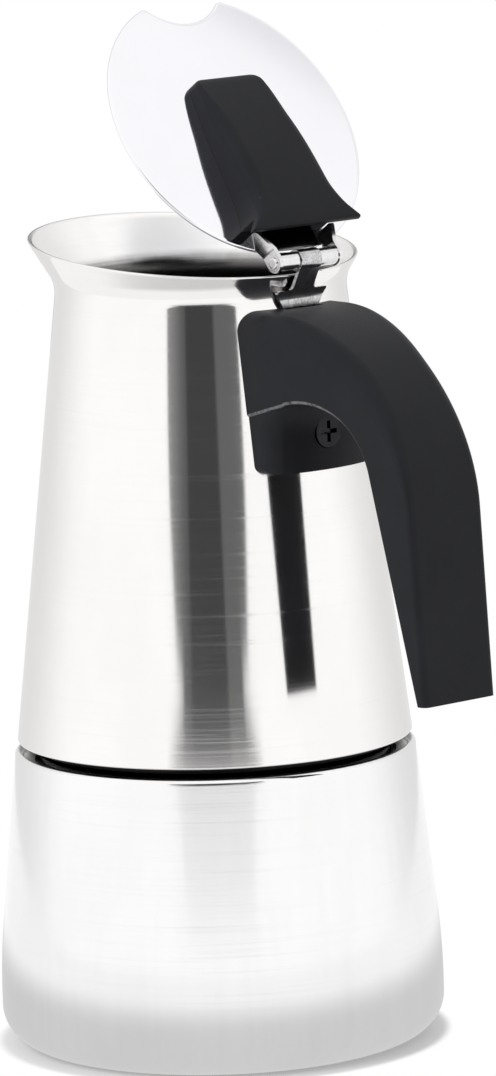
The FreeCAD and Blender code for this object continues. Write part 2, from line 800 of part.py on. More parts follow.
def lid_knob():
    """Moulded knob that covers the hinge leaf, rises from its far end and flares into a thumb tail."""
    sections = [knob_section(knob_far, knob_far_half_width, knob_far_height, knob_far_round),
                knob_section(knob_rise_reach, knob_rise_half_width, knob_rise_height, knob_edge_round),
                knob_section(knob_crown_reach, knob_half_width, knob_crown_height, knob_edge_round),
                knob_section(knob_waist_reach, knob_half_width, knob_waist_height, knob_edge_round),
                knob_section(knob_flare_reach, knob_flare_half_width, knob_flare_height, knob_flare_round),
                knob_section(knob_tail_reach, knob_tail_half_width, knob_tail_height, knob_tail_round)]
    knob = sound(Part.makeLoft(sections, True, False))
    tail_under = knob_tail_height - knob_tail_thickness
    tail_corner = lid_xy(knob_tail_root, -2 * knob_tail_half_width)
    knob = knob.cut(Part.makeBox(knob_tail_root, 4 * knob_tail_half_width, tail_under, tail_corner))
    far_x = lid_xy(knob_far, 0).x + match_tolerance
    tail_x = lid_xy(knob_tail_reach, 0).x - match_tolerance
    over_lid = [edge for edge in knob.Edges if edge.BoundBox.ZMax > lid_top + match_tolerance]
    ends = [edge for edge in over_lid if edge.BoundBox.XMax < far_x or edge.BoundBox.XMin > tail_x]
    knob = knob.makeFillet(knob_end_round, ends)
    pocket_length = leaf_far + knob_pocket_clearance
    pocket_side = leaf_plate_half_width + knob_pocket_clearance
    pocket_corner = lid_xy(pocket_length, -pocket_side)
    pocket_depth = leaf_thickness + knob_pocket_clearance
    pocket = Part.makeBox(pocket_length, 2 * pocket_side, pocket_depth, pocket_corner)
    knob = knob.cut(pocket).cut(leaf_ears(knob_pocket_clearance))
    for reach in (lid_screw_near, lid_screw_far):
        knob = knob.cut(rod(lid_screw_radius + lid_screw_fit, lid_xy(reach, 0), axis_up,
                            leaf_thickness + lid_screw_bite + lid_screw_fit))
    return opened(knob)


def lid_screws():
    """Two screws from under the lid into the knob, one of them through the hinge leaf."""
    screws = []
    for reach in (lid_screw_near, lid_screw_far):
        seat = lid_xy(reach, 0) - Vector(0, 0, lid_thickness)
        head = rod(lid_screw_head_radius, seat, -axis_up, lid_screw_head_height)
        middle = seat.z - lid_screw_head_height / 2
        rim = [edge for edge in head.Edges if edge.isClosed() and edge.CenterOfMass.z < middle]
        head = head.makeFillet(lid_screw_head_height / 2, rim)
        shank = rod(lid_screw_radius, seat, axis_up, lid_thickness + leaf_thickness + lid_screw_bite)
        screws.append(opened(head.fuse(shank)))
    return Part.makeCompound(screws)


def handle_lines():
    """Outer and inner run of the arm and grip in the middle plane, from the body to the tip."""
    back = waist_radius / 2
    inner_x = handle_bend_x - handle_arch_back
    tip_x = handle_reach - handle_tip_thickness
    step_z = handle_arch_corner - math.tan(math.radians(handle_arch_slope)) * (inner_x - back)
    outer = [(back, handle_top, 0), (handle_bend_x, handle_top, handle_bend_round),
             (handle_reach, handle_tip, 0)]
    inner = [(back, step_z, 0), (inner_x, handle_arch_corner, handle_arch_round), (tip_x, handle_tip, 0)]
    return outer, inner


def handle_plan(inset):
    """Half outline of the arm from above, drawn in on its side."""
    back = waist_radius / 2
    return [(handle_reach, 0, 0), (handle_reach, inset - handle_tip_half_width, 0),
            (handle_waist_reach, inset - handle_waist_half_width, handle_waist_round),
            (handle_shoulder_reach, inset - handle_boss_half_width, handle_waist_round),
            (back, inset - handle_boss_half_width, 0), (back, 0, 0)]


def handle_arm():
    """Arm and grip of the handle: one bent outline, narrowed towards the tip, with rounded edges."""
    outer, inner = handle_lines()
    from_side = across_y(filled(outer + inner[::-1], in_xz), 2 * handle_boss_half_width)
    from_above = sound(filled(handle_plan(0), in_xy).extrude(Vector(0, 0, 2 * handle_top)))
    half = from_side.common(from_above)
    ridge = [edge for edge in edges_over(half, outer, in_xz) if edge.BoundBox.YMax < 0]
    ridge.sort(key=lambda edge: edge.CenterOfMass.x)
    half = half.makeFillet(handle_ridge_round, handle_top_round, ridge[-2:-1])
    edge_line = [edge for edge in edges_over(half, inner, in_xz) if edge.BoundBox.YMax < 0]
    half = half.makeFillet(handle_inner_round, edge_line)
    return half.fuse(half.mirror(origin, out_y)).removeSplitter()


def handle_boss():
    """Pad under the arm that lies round the collector and takes the screw."""
    inner = handle_lines()[1]
    arch = Part.Wire(edges_through(inner, in_xz, False))
    crown = arch.BoundBox.ZMax + handle_pad_step
    front = collector_radius_at(handle_boss_bottom) + handle_boss_thickness
    overlap = 2 * handle_boss_round
    side = [(waist_radius / 2, handle_boss_bottom, 0),
            (front, handle_boss_bottom, 0),
            (front, crown, handle_boss_round),
            (front + overlap, crown, 0),
            (front + overlap, crown + handle_boss_round, 0),
            (waist_radius / 2, crown + handle_boss_round, 0)]
    face = [(handle_pad_half_width, handle_boss_bottom, handle_corner_round),
            (handle_pad_half_width, handle_top, 0)]
    pad = revolved(filled(side, in_xz))
    pad = pad.common(sound(filled(handle_plan(handle_pad_step), in_xy).extrude(Vector(0, 0, handle_top))))
    low = [edge for edge in pad.Edges if edge.BoundBox.ZMin < handle_boss_bottom + match_tolerance]
    upright = [edge for edge in low if edge.BoundBox.YMax < 0 and edge.BoundBox.ZLength > handle_pad_step]
    corner = max(upright, key=lambda edge: edge.BoundBox.XMax)
    pad = pad.makeFillet(handle_pad_round, [corner])
    pad = pad.fuse(pad.mirror(origin, out_y)).removeSplitter()
    return pad.common(sound(filled(mirrored(face), in_yz).extrude(Vector(handle_reach, 0, 0))))


def handle():
    """Moulded handle with pockets for the bracket's foot, the weld stud and the screw."""
    body = handle_arm().fuse(handle_boss())
    body = body.cut(cone_of_collector(handle_body_gap))
    gap = handle_pocket_clearance
    slot_depth = collector_radius_at(bracket_foot) + weld_gap + bracket_thickness + gap
    slot_corner = Vector(0, -bracket_half_width - gap, bracket_foot - gap)
    slot = Part.makeBox(slot_depth, 2 * (bracket_half_width + gap), handle_top, slot_corner)
    stud_x = collector_radius_at(stud_height) + stud_length
    middle = Vector(0, 0, stud_height)
    stud_hole = rod(stud_radius + gap, middle, out_x, stud_x + gap)
    screw_hole = rod(handle_screw_radius + gap, middle, out_x, handle_reach / 2)
    seat = Vector(stud_x + handle_screw_seat, 0, stud_height)
    recess = rod(handle_screw_head_radius + gap, seat, out_x, handle_boss_thickness + handle_boss_round)
    return body.cut(slot).cut(stud_hole).cut(screw_hole).cut(recess)


def handle_stud():
    """Threaded stud welded to the collector, which the handle's screw bites into."""
    middle = Vector(0, 0, stud_height)
    stud = rod(stud_radius, middle, out_x, collector_radius_at(stud_height) + stud_length)
    bore = rod(handle_screw_radius + handle_screw_fit, middle, out_x, handle_reach)
    return stud.cut(cone_of_collector(weld_gap)).cut(bore)


def handle_screw():
    """Cross-recess screw through the handle's boss into the stud."""
    body_x = collector_radius_at(stud_height)
    seat = Vector(body_x + stud_length + handle_screw_seat, 0, stud_height)
    shank_start = Vector(body_x + handle_screw_spare, 0, stud_height)
    shank = rod(handle_screw_radius, shank_start, out_x, seat.x - shank_start.x)
    screw = shank.fuse(rod(handle_screw_head_radius, seat, out_x, handle_screw_head_height))
    face = seat.x + handle_screw_head_height - screw_recess_depth
    for turn in (0, 90):
        bar = Part.makeBox(screw_recess_depth, screw_recess_length, screw_recess_width,
                           Vector(face, -screw_recess_length / 2, stud_height - screw_recess_width / 2))
        bar.rotate(Vector(face, 0, stud_height), out_x, turn)
        screw = screw.cut(bar)
    return screw


pieces = {
    "boiler_shell": boiler_shell,
    "safety_valve_body": valve_body,
    "safety_valve_washer": valve_washer,
    "safety_valve_nut": valve_nut,
    "safety_valve_retainer": valve_retainer,
    "safety_valve_spring": valve_spring,
    "safety_valve_pin": valve_pin,
    "funnel": funnel,
    "funnel_sieve": funnel_sieve,
    "gasket": gasket,
    "filter_plate": filter_plate,
    "collector_shell": collector_shell,
    "threaded_collar": threaded_collar,
    "collector_floor": collector_floor,
    "chimney": chimney,
    "chimney_cap": chimney_cap,
    "hinge_bracket": hinge_bracket,
    "hinge_pin": hinge_pin,
    "hinge_sleeves": hinge_sleeves,
    "lid_disc": lid_disc,
    "lid_hinge_leaf": lid_hinge_leaf,
    "lid_knob": lid_knob,
    "lid_screws": lid_screws,
    "handle": handle,
    "handle_stud": handle_stud,
    "handle_screw": handle_screw,
}

os.makedirs("parts", exist_ok=True)
for name, make in pieces.items():
    shape = make()
    print(name, "solids", len(shape.Solids), "valid", shape.isValid(), "volume", round(shape.Volume, 2))
    shape.exportStep(os.path.join("parts", name + ".step"))
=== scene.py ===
import json
import math

import bmesh
import bpy
import numpy as np
from bpy.props import FloatProperty, FloatVectorProperty, IntProperty, PointerProperty
from mathutils import Matrix, Vector


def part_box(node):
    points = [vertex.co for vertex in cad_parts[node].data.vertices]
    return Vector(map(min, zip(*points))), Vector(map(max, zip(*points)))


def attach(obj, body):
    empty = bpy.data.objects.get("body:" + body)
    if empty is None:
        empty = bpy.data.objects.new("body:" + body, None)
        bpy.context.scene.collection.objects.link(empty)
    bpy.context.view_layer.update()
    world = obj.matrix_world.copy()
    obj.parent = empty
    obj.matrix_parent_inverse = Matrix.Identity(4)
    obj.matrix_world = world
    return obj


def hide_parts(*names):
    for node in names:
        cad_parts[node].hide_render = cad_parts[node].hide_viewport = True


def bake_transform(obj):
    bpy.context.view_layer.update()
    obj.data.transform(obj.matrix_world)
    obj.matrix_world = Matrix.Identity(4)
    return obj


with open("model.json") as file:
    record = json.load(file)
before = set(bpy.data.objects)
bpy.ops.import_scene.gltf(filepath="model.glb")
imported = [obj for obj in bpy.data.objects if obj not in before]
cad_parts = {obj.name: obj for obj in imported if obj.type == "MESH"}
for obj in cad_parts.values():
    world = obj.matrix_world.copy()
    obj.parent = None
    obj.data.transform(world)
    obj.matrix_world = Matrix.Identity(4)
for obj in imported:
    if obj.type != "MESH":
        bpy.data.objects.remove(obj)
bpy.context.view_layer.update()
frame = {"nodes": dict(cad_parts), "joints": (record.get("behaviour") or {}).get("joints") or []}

bl_info = {
    "name": "Moka Pot",
    "version": (1, 0, 0),
    "blender": (4, 5, 0),
    "location": "View3D > Sidebar > Moka Pot",
    "description": "Dresses the packed moka pot with its finished surfaces, materials and studio",
    "category": "Object",
}

BOILER_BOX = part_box("boiler_shell")
JUG_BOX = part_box("collector_shell")
PIN_PLACE = next(joint for joint in frame["joints"] if joint["name"] == "lid_hinge")["pos_m"]

WHITE = (1.0, 1.0, 1.0, 1.0)
QUARTER_TURN, FULL_TURN = math.pi / 2.0, 2.0 * math.pi
CORNER_STEPS = 14
WALL_TURNS = 256
JUG_TURNS = 288
SMALL_TURNS = 96
LONGEST_GUARD = 0.0004
MERGED_WITHIN = 1e-7
METAL = {"Metallic": 1.0}


def number(name, description, default, **more):
    """A plain number property."""
    return FloatProperty(name=name, description=description, default=default, **more)


def length(name, description, default):
    """A length property in metres."""
    return number(name, description, default, unit="LENGTH", precision=5)


def share(name, description, default):
    """A property from 0 to 1."""
    return number(name, description, default, min=0.0, max=1.0, subtype="FACTOR")


def angle(name, description, degrees):
    """An angle property, given in degrees."""
    return number(name, description, math.radians(degrees), unit="ROTATION")


def pixels(name, description, default):
    """A whole number of pixels."""
    return IntProperty(name=name, description=description, default=default, subtype="PIXEL")


def colour(name, description, default):
    """A colour property in linear light."""
    return FloatVectorProperty(name=name, description=description, default=default, min=0.0, max=1.0,
                               subtype="COLOR")


class BoilerSizes(bpy.types.PropertyGroup):
    """Sizes of the water boiler."""

    radius: length("Radius", "Largest radius of the wall", BOILER_BOX[1].x)
    corner: length("Base corner", "Rounding between floor and wall", 0.0076)
    belly_height: length("Belly height", "Height where the wall starts to lean in", 0.0174)
    belly_round: length("Belly rounding", "Rounding of the wall at the belly", 0.150)
    shoulder_radius: length("Shoulder radius", "Radius of the wall under the seam", 0.0402)
    shoulder_height: length("Shoulder height", "Height of the ledge under the seam", 0.0596)
    shoulder_round: length("Shoulder rounding", "Rounding of the ledge's edge", 0.0011)
    neck_radius: length("Neck radius", "Outer radius of the threaded neck", 0.0353)
    neck_top: length("Neck top", "Height of the neck's edge", BOILER_BOX[1].z)
    neck_round: length("Neck rounding", "Rounding at the neck's foot", 0.0009)
    wall: length("Wall", "Thickness of the sheet", 0.0008)
    thread_pitch: length("Thread pitch", "Rise of the thread in one turn", 0.003)
    thread_turns: number("Thread turns", "Turns of the thread", 1.8)
    thread_depth: length("Thread depth", "Height of the ridge over the neck", 0.0008)
    thread_root: length("Thread root", "Width of the ridge at the neck", 0.0012)
    thread_crest: length("Thread crest", "Width of the ridge at its top", 0.0007)
    thread_start: length("Thread start", "Height of the ridge's lower end", 0.0642)
    pad_radius: length("Pad radius", "Radius of the boss round the valve", 0.0076)
    pad_bore: length("Pad bore", "Radius of the valve's hole", 0.0041)
    pad_inner: length("Pad inner face", "Distance of the boss's inner face from the axis", 0.04057)
    pad_outer: length("Pad outer face", "Distance of the boss's outer face from the axis", 0.04377)
    pad_height: length("Pad height", "Height of the valve's axis", 0.034)


class JugSizes(bpy.types.PropertyGroup):
    """Sizes of the jug."""

    foot_radius: length("Foot radius", "Radius at the seam", JUG_BOX[1].x)
    foot_height: length("Foot height", "Height of the lower edge", JUG_BOX[0].z)
    waist_radius: length("Waist radius", "Radius where cone and flare meet", 0.02884)
    waist_height: length("Waist height", "Height where cone and flare meet", 0.15326)
    waist_round: length("Waist rounding", "Rounding between cone and flare", 0.007)
    flare: angle("Flare", "Lean of the flared rim from upright", 31.0)
    rim_height: length("Rim height", "Height of the rim's plane on the axis", 0.15997)
    rim_tilt: angle("Rim tilt", "Tilt of the rim's plane towards the handle", 6.12)
    wall: length("Wall", "Thickness of the sheet", 0.0008)
    edge: length("Edge rounding", "Rounding of the rim's edge", 0.00035)
    foot_round: length("Foot rounding", "Rounding of the lower edge", 0.0003)


class LidSizes(bpy.types.PropertyGroup):
    """Sizes of the lid's plate, measured on the closed lid."""

    radius: length("Radius", "Radius of the plate", 0.0292)
    thickness: length("Thickness", "Thickness of the plate", 0.0008)
    reach: length("Reach", "Distance from the hinge pin to the plate's centre", 0.03195)
    drop: length("Drop", "Height of the hinge pin over the plate", 0.00225)
    opening: angle("Opening", "Turn about the hinge pin from closed", 56.3)
    notch_radius: length("Notch radius", "Radius of the pouring notch", 0.0128)
    notch_depth: length("Notch depth", "Depth of the pouring notch", 0.00585)
    horn_round: length("Horn rounding", "Rounding where notch and rim meet", 0.0015)
    edge: length("Edge rounding", "Rounding of the plate's edge", 0.0003)


class KnobSizes(bpy.types.PropertyGroup):
    """Sizes of the lid's knob: reach from the hinge pin, height over the lid."""

    offset: length("Offset", "Distance of the knob's middle from the lid's middle", 0.0010)
    tail: length("Tail", "Reach of the tail's end", 0.0057)
    root: length("Root", "Reach at which the tail's underside begins", 0.0086)
    far: length("Far end", "Reach of the far end", 0.0417)
    half_width: length("Half width", "Half width of the grip", 0.0098)
    flare: length("Flare", "Widening of the tail", 0.0046)
    flare_length: length("Flare length", "Reach over which the flare fades", 0.0032)
    taper: length("Taper", "Narrowing towards the far end", 0.0016)
    crown: length("Crown", "Greatest height", 0.0073)
    crown_reach: length("Crown reach", "Reach of the greatest height", 0.0130)
    tail_drop: length("Tail drop", "Fall from the crown to the tail", 0.0007)
    far_drop: length("Far drop", "Fall from the crown to the far end", 0.0050)
    under: length("Underside", "Height of the tail's underside", 0.0048)
    edge_round: length("Edge rounding", "Rounding of the long edges", 0.0026)
    tail_round: length("Tail rounding", "Rounding of the tail's edges", 0.0006)
    end_length: length("End rounding", "Length of the far end's rounding", 0.0019)
    end_inset: length("End inset", "How much the far end's rounding narrows the knob", 0.0018)
    end_drop: length("End drop", "How much the far end's rounding lowers the knob", 0.00072)
    tail_ease: length("Tail ease", "Reach over which the edges round up from the tail", 0.009)
    far_ease: length("Far ease", "Reach over which the edges round up from the far end", 0.012)


class ValveSizes(bpy.types.PropertyGroup):
    """Sizes of the safety valve's spring."""

    spring_turns: IntProperty(name="Spring turns", description="Turns of the spring", default=8)
    spring_wire: length("Spring wire", "Thickness of the spring's wire", 0.00045)


class SteelFinish(bpy.types.PropertyGroup):
    """Colours and roughness of the steel pieces."""

    polished: colour("Polished steel", "Colour of the jug's outside", (0.905, 0.895, 0.885))
    polished_roughness: share("Polished roughness", "Roughness of the jug's outside", 0.090)
    satin: colour("Satin steel", "Colour of the boiler", (0.90, 0.90, 0.905))
    satin_roughness: share("Satin roughness", "Roughness of the boiler", 0.105)
    # Painted shade: this near-black colour stands in for the shadow inside the jug below the waist.
    inside: colour("Inside steel", "Colour of the jug's unpolished inside", (0.13, 0.127, 0.124))
    # Painted light: the inner flare is brighter than the outer steel, as a lit copy of the same sheet.
    flare: colour("Flare steel", "Colour of the jug's bright inner flare", (0.97, 0.96, 0.95))
    mirror: colour("Mirror steel", "Colour of the lid", (0.90, 0.895, 0.925))
    hinge: colour("Hinge steel", "Colour of the hinge", (0.80, 0.79, 0.80))
    # The web's near-black colour is painted shade, where the knob's tail shades the leaf between the ears.
    web: length("Leaf web", "Half width of the hinge leaf's blackened web", 0.0068)
    pressed: colour("Pressed steel", "Colour of the filter and funnel pieces", (0.66, 0.65, 0.64))
    dark: colour("Dark screw", "Colour of the handle's screw", (0.027, 0.027, 0.029))
    brass: colour("Brass", "Colour of the safety valve", (0.70, 0.50, 0.22))
    brushing: number("Brushing", "Brush lines in one metre of height", 2600.0)


class MouldedFinish(bpy.types.PropertyGroup):
    """Colours and grain of the moulded pieces."""

    black: colour("Black plastic", "Colour of the handle and the knob", (0.0150, 0.0156, 0.0186))
    # Also the colour of the painted highlight along the handle's step and arch.
    rub_and_highlight_colour: colour("Scuffed plastic", "Colour of rubbed edges", (0.17, 0.17, 0.175))
    black_roughness: share("Plastic roughness", "Roughness of the handle and the knob", 0.47)
    silicone: colour("Silicone", "Colour of the seals", (0.74, 0.72, 0.66))
    grain: number("Grain", "Moulded grains in one metre", 2400.0)


class StudioSetup(bpy.types.PropertyGroup):
    """Camera, floor, light and cards of the studio."""

    bearing: angle("Bearing", "Direction of the camera from the pot, from +X towards +Y", -40.57)
    distance: length("Distance", "Level distance of the camera from the axis", 1.39581)
    height: length("Height", "Height of the camera", 0.32344)
    aim: length("Aim", "Height of the point that the camera is levelled on", 0.080)
    roll: angle("Roll", "Roll of the camera", -1.85)
    focal: number("Focal length", "Focal length in pixels of the picture", 7062.43)
    aim_x: number("Aim across", "Pixel column of the aimed point", 212.08)
    aim_y: number("Aim down", "Pixel row of the aimed point", 641.94)
    frame_width: pixels("Picture width", "Width of the picture", 496)
    frame_height: pixels("Picture height", "Height of the picture", 1076)
    floor_radius: length("Floor radius", "Radius of the floor", 0.34)
    floor: colour("Floor", "Colour of the floor", (0.86, 0.86, 0.86))
    surround: number("Surround", "Brightness of the studio in front of the pot", 1.08)
    backdrop: number("Backdrop", "Brightness of the studio behind the pot", 0.80)
    ambient: number("Ambient", "Brightness of the studio for matt surfaces", 0.85)
    key_power: number("Key light", "Power of the key light", 6.0, unit="POWER")
    flag_distance: length("Flag distance", "Distance of the dark flag from the axis", 0.50)
    flag_bottom: length("Flag bottom", "Height of the flag's lower edge", 0.080)
    flag_top: length("Flag top", "Height of the flag's upper edge", 0.34)
    flag_half_width: length("Flag half width", "Half the width of the flag", 0.245)
    flag_waist: length("Flag waist", "Half the width of the flag above its foot", 0.142)
    lid_card: FloatVectorProperty(name="Lid card", description="Direction of the card that the lid mirrors",
                                  default=(0.372, 0.657, 0.655))
    pale_bottom: length("Pale card bottom", "Height of the pale card's lower edge", 0.031)


class MokaPot(bpy.types.PropertyGroup):
    """All settings of the pot and its studio."""

    boiler: PointerProperty(type=BoilerSizes)
    jug: PointerProperty(type=JugSizes)
    lid: PointerProperty(type=LidSizes)
    knob: PointerProperty(type=KnobSizes)
    valve: PointerProperty(type=ValveSizes)
    steel: PointerProperty(type=SteelFinish)
    moulded: PointerProperty(type=MouldedFinish)
    studio: PointerProperty(type=StudioSetup)


class Signal:
    """A number that varies over a surface; arithmetic on it adds Math nodes."""

    def __init__(self, finish, socket):
        self.finish = finish
        self.socket = socket

    def __add__(self, other):
        return self.finish.maths("ADD", self, other)

    def __radd__(self, other):
        return self.finish.maths("ADD", other, self)

    def __sub__(self, other):
        return self.finish.maths("SUBTRACT", self, other)

    def __rsub__(self, other):
        return self.finish.maths("SUBTRACT", other, self)

    def __mul__(self, other):
        return self.finish.maths("MULTIPLY", self, other)

    def __rmul__(self, other):
        return self.finish.maths("MULTIPLY", other, self)

    def __pow__(self, other):
        return self.finish.maths("POWER", self, other)

    def __abs__(self):
        return self.finish.maths("ABSOLUTE", self)

    def ramp(self, low, high):
        """0 below low, 1 above high, and a smooth step between."""
        sockets = {"Value": self, "From Min": low, "From Max": high}
        return self.finish.node("ShaderNodeMapRange", {"interpolation_type": "SMOOTHSTEP"}, sockets)


class Finish:
    """A node tree under construction: a material's, or the world's."""

    def __init__(self, owner):
        owner.use_nodes = True
        self.owner, self.tree = owner, owner.node_tree
        self.tree.nodes.clear()

    def node(self, kind, settings, sockets, output=0):
        """Adds a node: first its settings, then the values or links of its sockets."""
        made = self.tree.nodes.new(kind)
        for key, value in settings.items():
            setattr(made, key, value)
        for key, value in sockets.items():
            if isinstance(value, Signal):
                self.tree.links.new(value.socket, made.inputs[key])
            else:
                made.inputs[key].default_value = value
        return Signal(self, made.outputs[output]) if len(made.outputs) else made

    def maths(self, operation, *values):
        """A Math node on signals and numbers."""
        return self.node("ShaderNodeMath", {"operation": operation}, dict(enumerate(values)))

    def mixed(self, factor, first, second):
        """A colour between two colours."""
        return self.node("ShaderNodeMix", {"data_type": "RGBA"}, {0: factor, 6: first, 7: second}, 2)

    def either(self, factor, first, second):
        """The first shader, and the second where the factor is 1."""
        return self.node("ShaderNodeMixShader", {}, {0: factor, 1: first, 2: second})

    def glow(self, tone):
        """A shader that glows at plain strength."""
        return self.node("ShaderNodeEmission", {}, {"Color": tone, "Strength": 1.0})

    def long_side(self, first, second):
        """The long side over two short sides at a right angle."""
        return self.maths("SQRT", first ** 2.0 + second ** 2.0)

    def rays(self):
        """1 for the camera's rays, and 1 for mirrored and refracted ones."""
        sockets = self.node("ShaderNodeLightPath", {}, {}).socket.node.outputs
        kinds = ("Is Camera Ray", "Is Glossy Ray", "Is Transmission Ray")
        camera, glossy, through = (Signal(self, sockets[kind]) for kind in kinds)
        return camera, self.maths("MAXIMUM", glossy, through)

    def parts(self, vector):
        """A vector's three parts as numbers."""
        split = self.node("ShaderNodeSeparateXYZ", {}, {0: vector})
        return [Signal(self, socket) for socket in split.socket.node.outputs]

    def place(self):
        """The point on the piece, in metres."""
        return self.node("ShaderNodeTexCoord", {}, {}, "Object")

    def axes(self):
        """The point's three coordinates as numbers."""
        return self.parts(self.place())

    def noise(self, scale, detail, roughness):
        """Soft noise by its grains in one metre, the same along X, Y and Z or one number for each."""
        grains = scale if isinstance(scale, tuple) else (scale,) * 3
        stretched = self.node("ShaderNodeMapping", {}, {"Vector": self.place(), "Scale": grains})
        sockets = {"Vector": stretched, "Scale": 1.0, "Detail": detail, "Roughness": roughness}
        return self.node("ShaderNodeTexNoise", {}, sockets, "Fac")

    def specks(self, scale, size):
        """1 in small round specks, one at most in each cell."""
        sockets = {"Vector": self.place(), "Scale": scale, "Randomness": 1.0}
        distance = self.node("ShaderNodeTexVoronoi", {"feature": "F1"}, sockets, "Distance")
        return 1.0 - distance.ramp(size * 0.6, size)

    def ended(self, shader, output="ShaderNodeOutputMaterial"):
        """Ends the tree in a shader, and gives the material or world that owns the tree."""
        self.node(output, {}, {"Surface": shader})
        return self.owner

    def surface(self, tone, rough, bump, constants):
        """Ends a material's tree in a Principled surface, and gives the material.

        Bump is a height with its strength and its distance in metres.
        """
        relief = dict(zip(("Height", "Strength", "Distance"), bump))
        bumped = self.node("ShaderNodeBump", {}, relief, "Normal")
        sockets = {"Base Color": tone, "Roughness": rough, "Normal": bumped, **constants}
        return self.ended(self.node("ShaderNodeBsdfPrincipled", {}, sockets))


def new_finish(name):
    """The empty node tree of a new material."""
    return Finish(bpy.data.materials.new(name))


def rgba(value, factor=1.0):
    """A stored colour, made lighter or darker, as a socket takes it."""
    return tuple(min(channel * factor, 1.0) for channel in value) + (1.0,)


def turned_steel(name, base, roughness, lines, drawn, anisotropy, painted_shade=None):
    """Steel polished round the pot's axis: sparse hair lines that scatter light, over soft warm clouds.

    Drawn is the share of upright streaks, left by drawing the sheet, in its tone.
    """
    finish = new_finish(name)
    broad = finish.noise((16.0, 16.0, lines * 0.5), 3.0, 0.6)
    fine = finish.noise((22.0, 22.0, lines * 1.3), 3.0, 0.65)
    cloud = finish.noise((42.0, 42.0, 26.0), 4.0, 0.60)
    upright = finish.noise((420.0, 420.0, 9.0), 3.0, 0.6)
    hair = fine.ramp(0.44, 0.70) * broad.ramp(0.30, 0.70)
    smudge = cloud * (1.0 - drawn) + upright * drawn
    warm = (base[0] * 0.985, base[1] * 0.976, base[2] * 0.969, 1.0)
    tone = finish.mixed(smudge.ramp(0.38, 0.66), warm, rgba(base, 1.01))
    tone = finish.mixed(hair * 0.30, tone, rgba(base, 0.95))
    # Painted shade: where this mask is 1 the steel is painted nearly black, in place of shadow.
    if painted_shade:
        tone = finish.mixed(painted_shade(finish), tone, rgba(base, 0.012))
    rough = roughness + hair * (0.9 * roughness) + (cloud - 0.5) * (0.4 * roughness)
    grooved = {**METAL, "Anisotropic": anisotropy, "Anisotropic Rotation": 0.25}
    return finish.surface(tone, rough, (broad * 0.35 + fine * 0.65, 0.03, 0.00002), grooved)


def mirror_steel(name, base):
    """Mirror-polished sheet with a faint haze and hair scratches."""
    finish = new_finish(name)
    haze = finish.noise(60.0, 4.0, 0.6)
    hair = finish.noise((2600.0, 90.0, 2600.0), 2.0, 0.6)
    tone = finish.mixed(haze.ramp(0.25, 0.75), rgba(base, 0.985), rgba(base, 1.01))
    rough = 0.045 + haze * 0.04 + (hair - 0.5) * 0.02
    return finish.surface(tone, rough, (hair, 0.012, 0.00001), METAL)


def plated_steel(name, base, speckle, painted_shade_half_width=0.0):
    """Plated steel with a pitted, slightly clouded skin, and a painted shade, nearly black, in the middle
    where a half width is given.
    """
    finish = new_finish(name)
    cloud = finish.noise(420.0, 4.0, 0.65)
    pits = finish.noise(2600.0, 3.0, 0.7)
    skin = (cloud * 0.5 + pits * 0.5).ramp(0.34, 0.62)
    tone = finish.mixed(skin, rgba(base, 1.0 - speckle), rgba(base, 1.03))
    # Painted shade: the middle strip is darkened to nearly black.
    if painted_shade_half_width:
        _, side, _ = finish.axes()
        edge = abs(side).ramp(painted_shade_half_width - 0.0006, painted_shade_half_width)
        tone = finish.mixed(edge, rgba(base, 0.05), tone)
    rough = 0.10 + cloud * 0.12 + (pits - 0.5) * speckle * 0.3
    return finish.surface(tone, rough, (pits, 0.10 + 0.25 * speckle, 0.00002), METAL)


def pressed_steel(name, base, roughness):
    """Plain pressed sheet: soft clouds, draw lines in height and a fine grain."""
    finish = new_finish(name)
    cloud = finish.noise(75.0, 4.0, 0.6)
    draw = finish.noise((40.0, 40.0, 1500.0), 3.0, 0.6)
    grain = finish.noise(3200.0, 2.0, 0.6)
    tone = finish.mixed((cloud * 0.6 + draw * 0.4).ramp(0.30, 0.70), rgba(base, 0.90), rgba(base, 1.05))
    rough = roughness + (cloud - 0.5) * 0.16 + (grain - 0.5) * 0.06
    return finish.surface(tone, rough, (draw * 0.6 + grain * 0.4, 0.08, 0.00002), METAL)


def inner_steel(name, painted_shade_tone, bright, waist):
    """The jug's inside: bright satin on the flare, painted brighter than the outer steel as lit, and painted
    shade, nearly black, from the waist down where the inside lies in shadow.
    """
    finish = new_finish(name)
    _, _, up = finish.axes()
    cloud = finish.noise(75.0, 4.0, 0.6)
    draw = finish.noise((30.0, 30.0, 2200.0), 3.0, 0.6)
    unshaded = (up + (cloud - 0.5) * 0.0012).ramp(waist - 0.0005, waist + 0.0030)
    tone = finish.mixed(unshaded, rgba(painted_shade_tone), rgba(bright))
    tone = finish.mixed((cloud * 0.4 + draw * 0.6).ramp(0.30, 0.70), tone, rgba(bright, 0.97))
    # Below the waist the inside is painted shade.
    tone = finish.mixed(unshaded, rgba(painted_shade_tone), tone)
    rough = 0.24 + (cloud - 0.5) * 0.10 + (draw - 0.5) * 0.08
    return finish.surface(tone, rough, (draw, 0.05, 0.00002), METAL)


